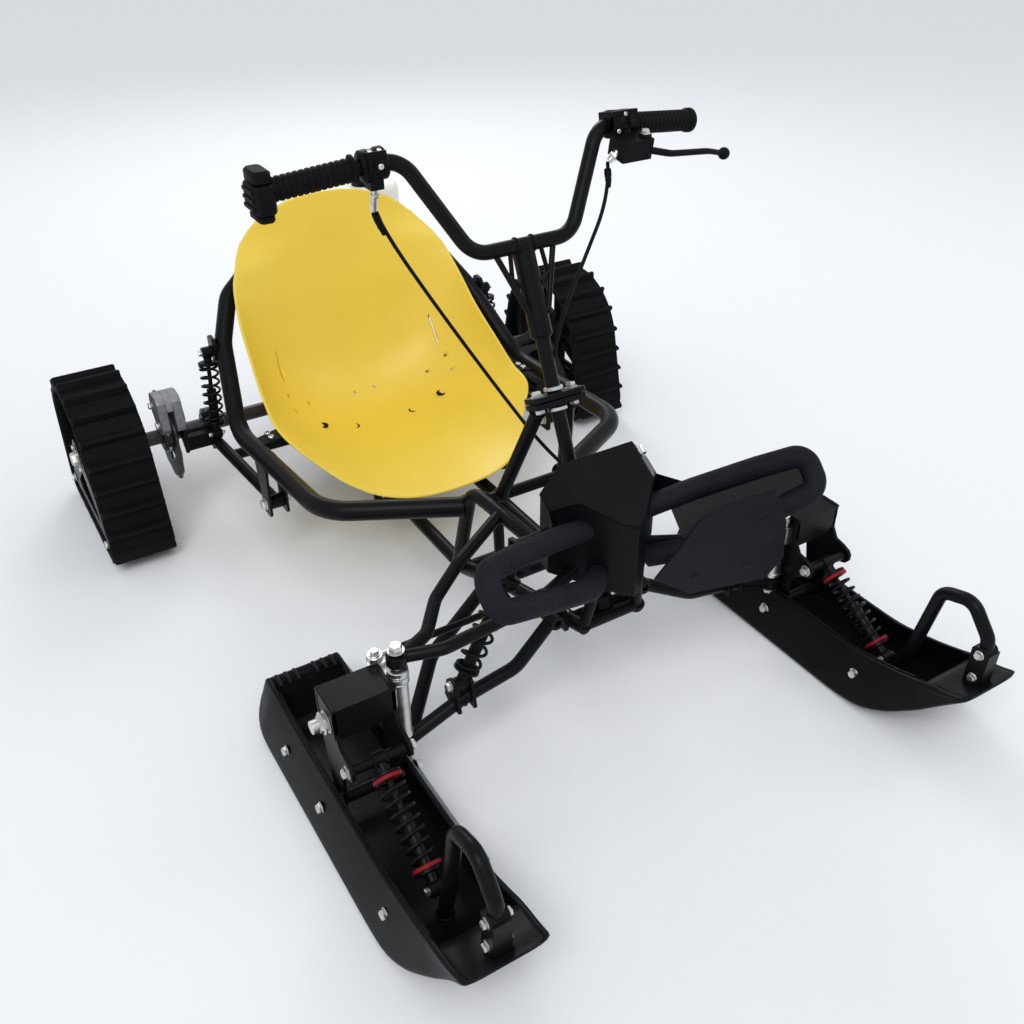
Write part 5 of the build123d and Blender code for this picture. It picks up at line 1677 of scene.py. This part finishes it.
def grips():
    """Ribbed grips, the right one with its end block."""
    high, end = Vector(BAR_HALF[1]), Vector(BAR_HALF[2])
    way = (end - high).normalized()
    for side, tag in SIDES:
        a, b = mirrored([end - way * 128, end + way * 4], side)
        grip = Shape()
        profile = [(11.6, 0), (19, 0.6), (20, 2), (20, 5), (18, 6.5), (15.4, 8)]
        for ridge in range(13):
            at = 10 + ridge * 8.4
            profile += [(15.2, at), (16.4, at + 1.2), (16.4, at + 5.4), (15.2, at + 6.6)]
        profile += [(16.2, 121), (18.6, 123), (18.8, 130), (16, 132), (3, 132)]
        grip.lathe(a, b, profile, 40)
        if side < 0:
            for low, top, half, deep in ((784, 796, 22, 12), (796, 834, 28, 15), (834, 852, 22, 13)):
                grip.loft([[(-359 + sx * (deep - i), -46 + sy * (half - i), z)
                            for sx, sy in EIGHT_CORNERS]
                           for z, i in ((low, 3), (low + 3, 0), (top - 3, 0), (top, 3))])
            for level in (804, 815, 826):
                grip.box((-374.5, -46, level), (3, 38, 5))
        grip.make("grip_rubber_" + tag, "grip", "grip_rubber", "steering", ["grip_" + tag])


def throttle_case():
    """Throttle case on the right with its cable adjuster."""
    housing = Shape()
    housing.lathe((-224, -62.8, 836), (-184, -66.3, 840), [
        (12, 0), (19, 1), (22, 4), (22, 15), (20.5, 17), (20.5, 24), (22, 26), (22, 36), (19, 39),
        (12, 40)], 44)
    housing.box((-206, -76, 845), (28, 28, 26), HOUSING_TILT)
    housing.box((-204, -66, 816), (20, 22, 20))
    housing.rod((-206, -90, 844), (-206, -95, 843), 7)
    housing.make("throttle_case", "control", "control_plastic", "steering", ["throttle_housing"], 2.2)
    adjuster = Shape()
    adjuster.rod((-202, -62, 804), (-200.6, -52, 782), 4.4)
    adjuster.hex_bolt((-201.6, -59, 797), (0.06, 0.42, -0.9), 12, False)
    adjuster.rod((-200.6, -52, 784), (-199, -46, 770), 5.2)
    adjuster.socket_screw((-206, -95, 843), (0, -1, 0), 4)
    adjuster.socket_screw((-213, -78, 857.4), (0, -0.2, 1), 3.2)
    adjuster.socket_screw((-199, -78, 857.4), (0, -0.2, 1), 3.2)
    adjuster.make("throttle_adjuster", "zinc", "zinc_steel", "steering")


def switch_box():
    """Switch box and lever holder on the left."""
    box = Shape()
    box.lathe((182, -66.3, 840.4), (228, -62.2, 835.6), [
        (12, 0), (18, 1), (20.5, 4), (20.5, 42), (18, 45), (12, 46)], 44)
    box.box((203, -70, 846), (46, 38, 26), HOUSING_TILT)
    box.box((208, -98, 812), (54, 40, 32), Matrix.Rotation(math.radians(10), 3, "X"))
    box.rod((208, -84, 826), (208, -76, 846), 8)
    box.rod((226, -108, 796), (226, -108, 830), 10)
    box.box((188, -86, 842), (16, 12, 26))
    box.make("switch_box", "control", "control_plastic", "steering", ["left_controls"], 2.4)
    details = Shape()
    for bx, bz in ((196, 858), (212, 856)):
        details.box((bx, -90, bz - 6), (8, 5, 10))
    details.rod((212, -90, 846), (212, -96, 845), 5)
    details.make("switch_buttons", "guard", "guard_grey", "steering", (), 0.8)


def brake_lever():
    """Tapered lever with its ball end and screws."""
    lever = Shape()
    blade = [(222, -106, 808), (262, -128, 800), (330, -136, 796), (360, -134, 788)]
    line = rounded_run(blade, [30, 60], 6.0)
    rings = []
    for number, spot in enumerate(line):
        heading = (line[min(number + 1, len(line) - 1)] - line[max(number - 1, 0)]).normalized()
        side_way = heading.cross(Vector((0, 0, 1))).normalized()
        upward = side_way.cross(heading)
        share = number / (len(line) - 1)
        wide, high = 8.0 - 3.4 * share, 5.2 - 1.0 * share
        rings.append([spot + side_way * math.cos(a) * wide + upward * math.sin(a) * high
                      for a in (math.tau * k / 20 for k in range(20))])
    lever.loft(rings)
    lever.ball((364, -134, 787), 9.5, 28)
    lever.make("brake_lever", "control", "control_plastic", "steering")
    fittings = Shape()
    fittings.hex_bolt((226, -108, 830), (0, 0, 1), 11)
    fittings.rod((186, -97, 808), (172, -93, 794), 5.4)
    fittings.hex_bolt((181, -95.5, 803), (-0.7, 0.2, -0.7), 13, False)
    fittings.socket_screw((200, -89, 858), (0, -1, 0.2), 3.2)
    fittings.socket_screw((186, -93, 836), (0, -1, 0), 3.4)
    fittings.make("lever_fittings", "zinc", "zinc_steel", "steering")


def cables():
    """Both cables with their boots."""
    for name, route in CABLES.items():
        cable(name, route)
    boots = Shape()
    boots.lathe((-196, -42, 764), (-176, -26, 722), [
        (2.8, 0), (5.5, 1), (5.8, 14), (4.8, 16), (5.6, 18), (4.6, 24), (5.2, 26), (4.0, 34),
        (3.0, 44)], 24)
    boots.lathe((166, -98, 784), (154, -120, 762), [
        (2.8, 0), (5.5, 1), (5.5, 12), (4.6, 14), (5.0, 18), (3.2, 30)], 24)
    boots.make("cable_boots", "grip", "grip_rubber", "steering")


class KART_OT_controls(bpy.types.Operator):
    """Grips, throttle housing, switch box, brake lever and cables"""
    bl_idname = "kart.controls"
    bl_label = "Grips and controls"

    def execute(self, context):
        grips()
        throttle_case()
        switch_box()
        brake_lever()
        cables()
        return {"FINISHED"}


# soft lamps: name, place in metres, watts and width
LAMPS = (("key", (-2.6, -2.2, 3.6), 46.0, 1.6), ("fill", (3.2, -1.2, 2.4), 16.0, 1.8),
         ("rim", (1.2, 3.2, 2.6), 34.0, 1.5))


class KART_OT_stage(bpy.types.Operator):
    """Pale floor, soft studio light and the camera of the photograph"""
    bl_idname = "kart.stage"
    bl_label = "Stage"

    def execute(self, context):
        scene = context.scene
        floor_mesh = bpy.data.meshes.new("floor")
        floor_mesh.from_pydata([(-30, -30, 0), (30, -30, 0), (30, 30, 0), (-30, 30, 0)], [], [(0, 1, 2, 3)])
        floor = bpy.data.objects.new("floor", floor_mesh)
        scene.collection.objects.link(floor)
        material = bpy.data.materials.new("floor_paint")
        material.use_nodes = True
        shader = material.node_tree.nodes["Principled BSDF"]
        shader.inputs["Base Color"].default_value = (0.80, 0.81, 0.83, 1.0)
        shader.inputs["Roughness"].default_value = 0.9
        floor_mesh.materials.append(material)

        world = bpy.data.worlds.new("studio")
        scene.world = world
        world.use_nodes = True
        nodes, links = world.node_tree.nodes, world.node_tree.links
        sky = nodes["Background"]
        sky.inputs["Color"].default_value = (0.93, 0.96, 1.0, 1.0)
        sky.inputs["Strength"].default_value = 0.71
        seen = nodes.new("ShaderNodeBackground")
        seen.inputs["Color"].default_value = (0.93, 0.95, 0.985, 1.0)
        seen.inputs["Strength"].default_value = 1.0
        path = nodes.new("ShaderNodeLightPath")
        pick = nodes.new("ShaderNodeMixShader")
        links.new(path.outputs["Is Camera Ray"], pick.inputs[0])
        links.new(sky.outputs[0], pick.inputs[1])
        links.new(seen.outputs[0], pick.inputs[2])
        links.new(pick.outputs[0], nodes["World Output"].inputs["Surface"])

        for name, place, energy, width in LAMPS:
            lamp = bpy.data.lights.new(name, "AREA")
            lamp.energy = energy
            lamp.size = width
            holder = bpy.data.objects.new(name, lamp)
            holder.location = place
            holder.rotation_mode = "QUATERNION"
            holder.rotation_quaternion = (Vector((0, 0, 0.3)) - Vector(place)).to_track_quat("-Z", "Y")
            scene.collection.objects.link(holder)

        sun = bpy.data.lights.new("sun", "SUN")
        sun.energy = 0.70
        sun.angle = math.radians(38)
        holder = bpy.data.objects.new("sun", sun)
        holder.rotation_euler = (math.radians(32), math.radians(-16), 0)
        scene.collection.objects.link(holder)

        camera = bpy.data.cameras.new("camera")
        camera.lens = 36.1
        camera.sensor_width = 36.0
        holder = bpy.data.objects.new("camera", camera)
        holder.location = (-0.779, -1.368, 1.226)
        holder.rotation_euler = (math.radians(55.9), math.radians(0.3), math.radians(-31.5))
        camera.clip_start = 0.02
        scene.collection.objects.link(holder)
        scene.camera = holder
        scene.view_settings.view_transform = "Standard"
        return {"FINISHED"}


STEPS = (KART_OT_finishes, KART_OT_frame, KART_OT_hoops, KART_OT_seat, KART_OT_nose, KART_OT_dampers,
         KART_OT_arms, KART_OT_skis, KART_OT_legs, KART_OT_tracks, KART_OT_drive, KART_OT_engine,
         KART_OT_steering, KART_OT_controls, KART_OT_stage)


class KART_PT_panel(bpy.types.Panel):
    """Lists the sizes, the colours and the steps that dress the kart"""
    bl_idname = "KART_PT_panel"
    bl_label = "Snow kart"
    bl_space_type = "VIEW_3D"
    bl_region_type = "UI"
    bl_category = "Snow kart"

    def draw(self, context):
        layout = self.layout
        for group in (context.scene.kart_sizes, context.scene.kart_colours):
            box = layout.box()
            for name in group.__annotations__:
                box.prop(group, name)
        for step in STEPS:
            layout.operator(step.bl_idname)


CLASSES = (KartSizes, KartColours) + STEPS + (KART_PT_panel,)


def register():
    for kind in CLASSES:
        bpy.utils.register_class(kind)
    bpy.types.Scene.kart_sizes = PointerProperty(type=KartSizes)
    bpy.types.Scene.kart_colours = PointerProperty(type=KartColours)


def unregister():
    del bpy.types.Scene.kart_colours
    del bpy.types.Scene.kart_sizes
    for kind in reversed(CLASSES):
        bpy.utils.unregister_class(kind)


def main():
    register()
    for step in STEPS:
        group, name = step.bl_idname.split(".")
        result = getattr(getattr(bpy.ops, group), name)()
        if "FINISHED" not in result:
            raise RuntimeError("The step " + step.bl_idname + " did not finish")


if __name__ == "__main__":
    main()
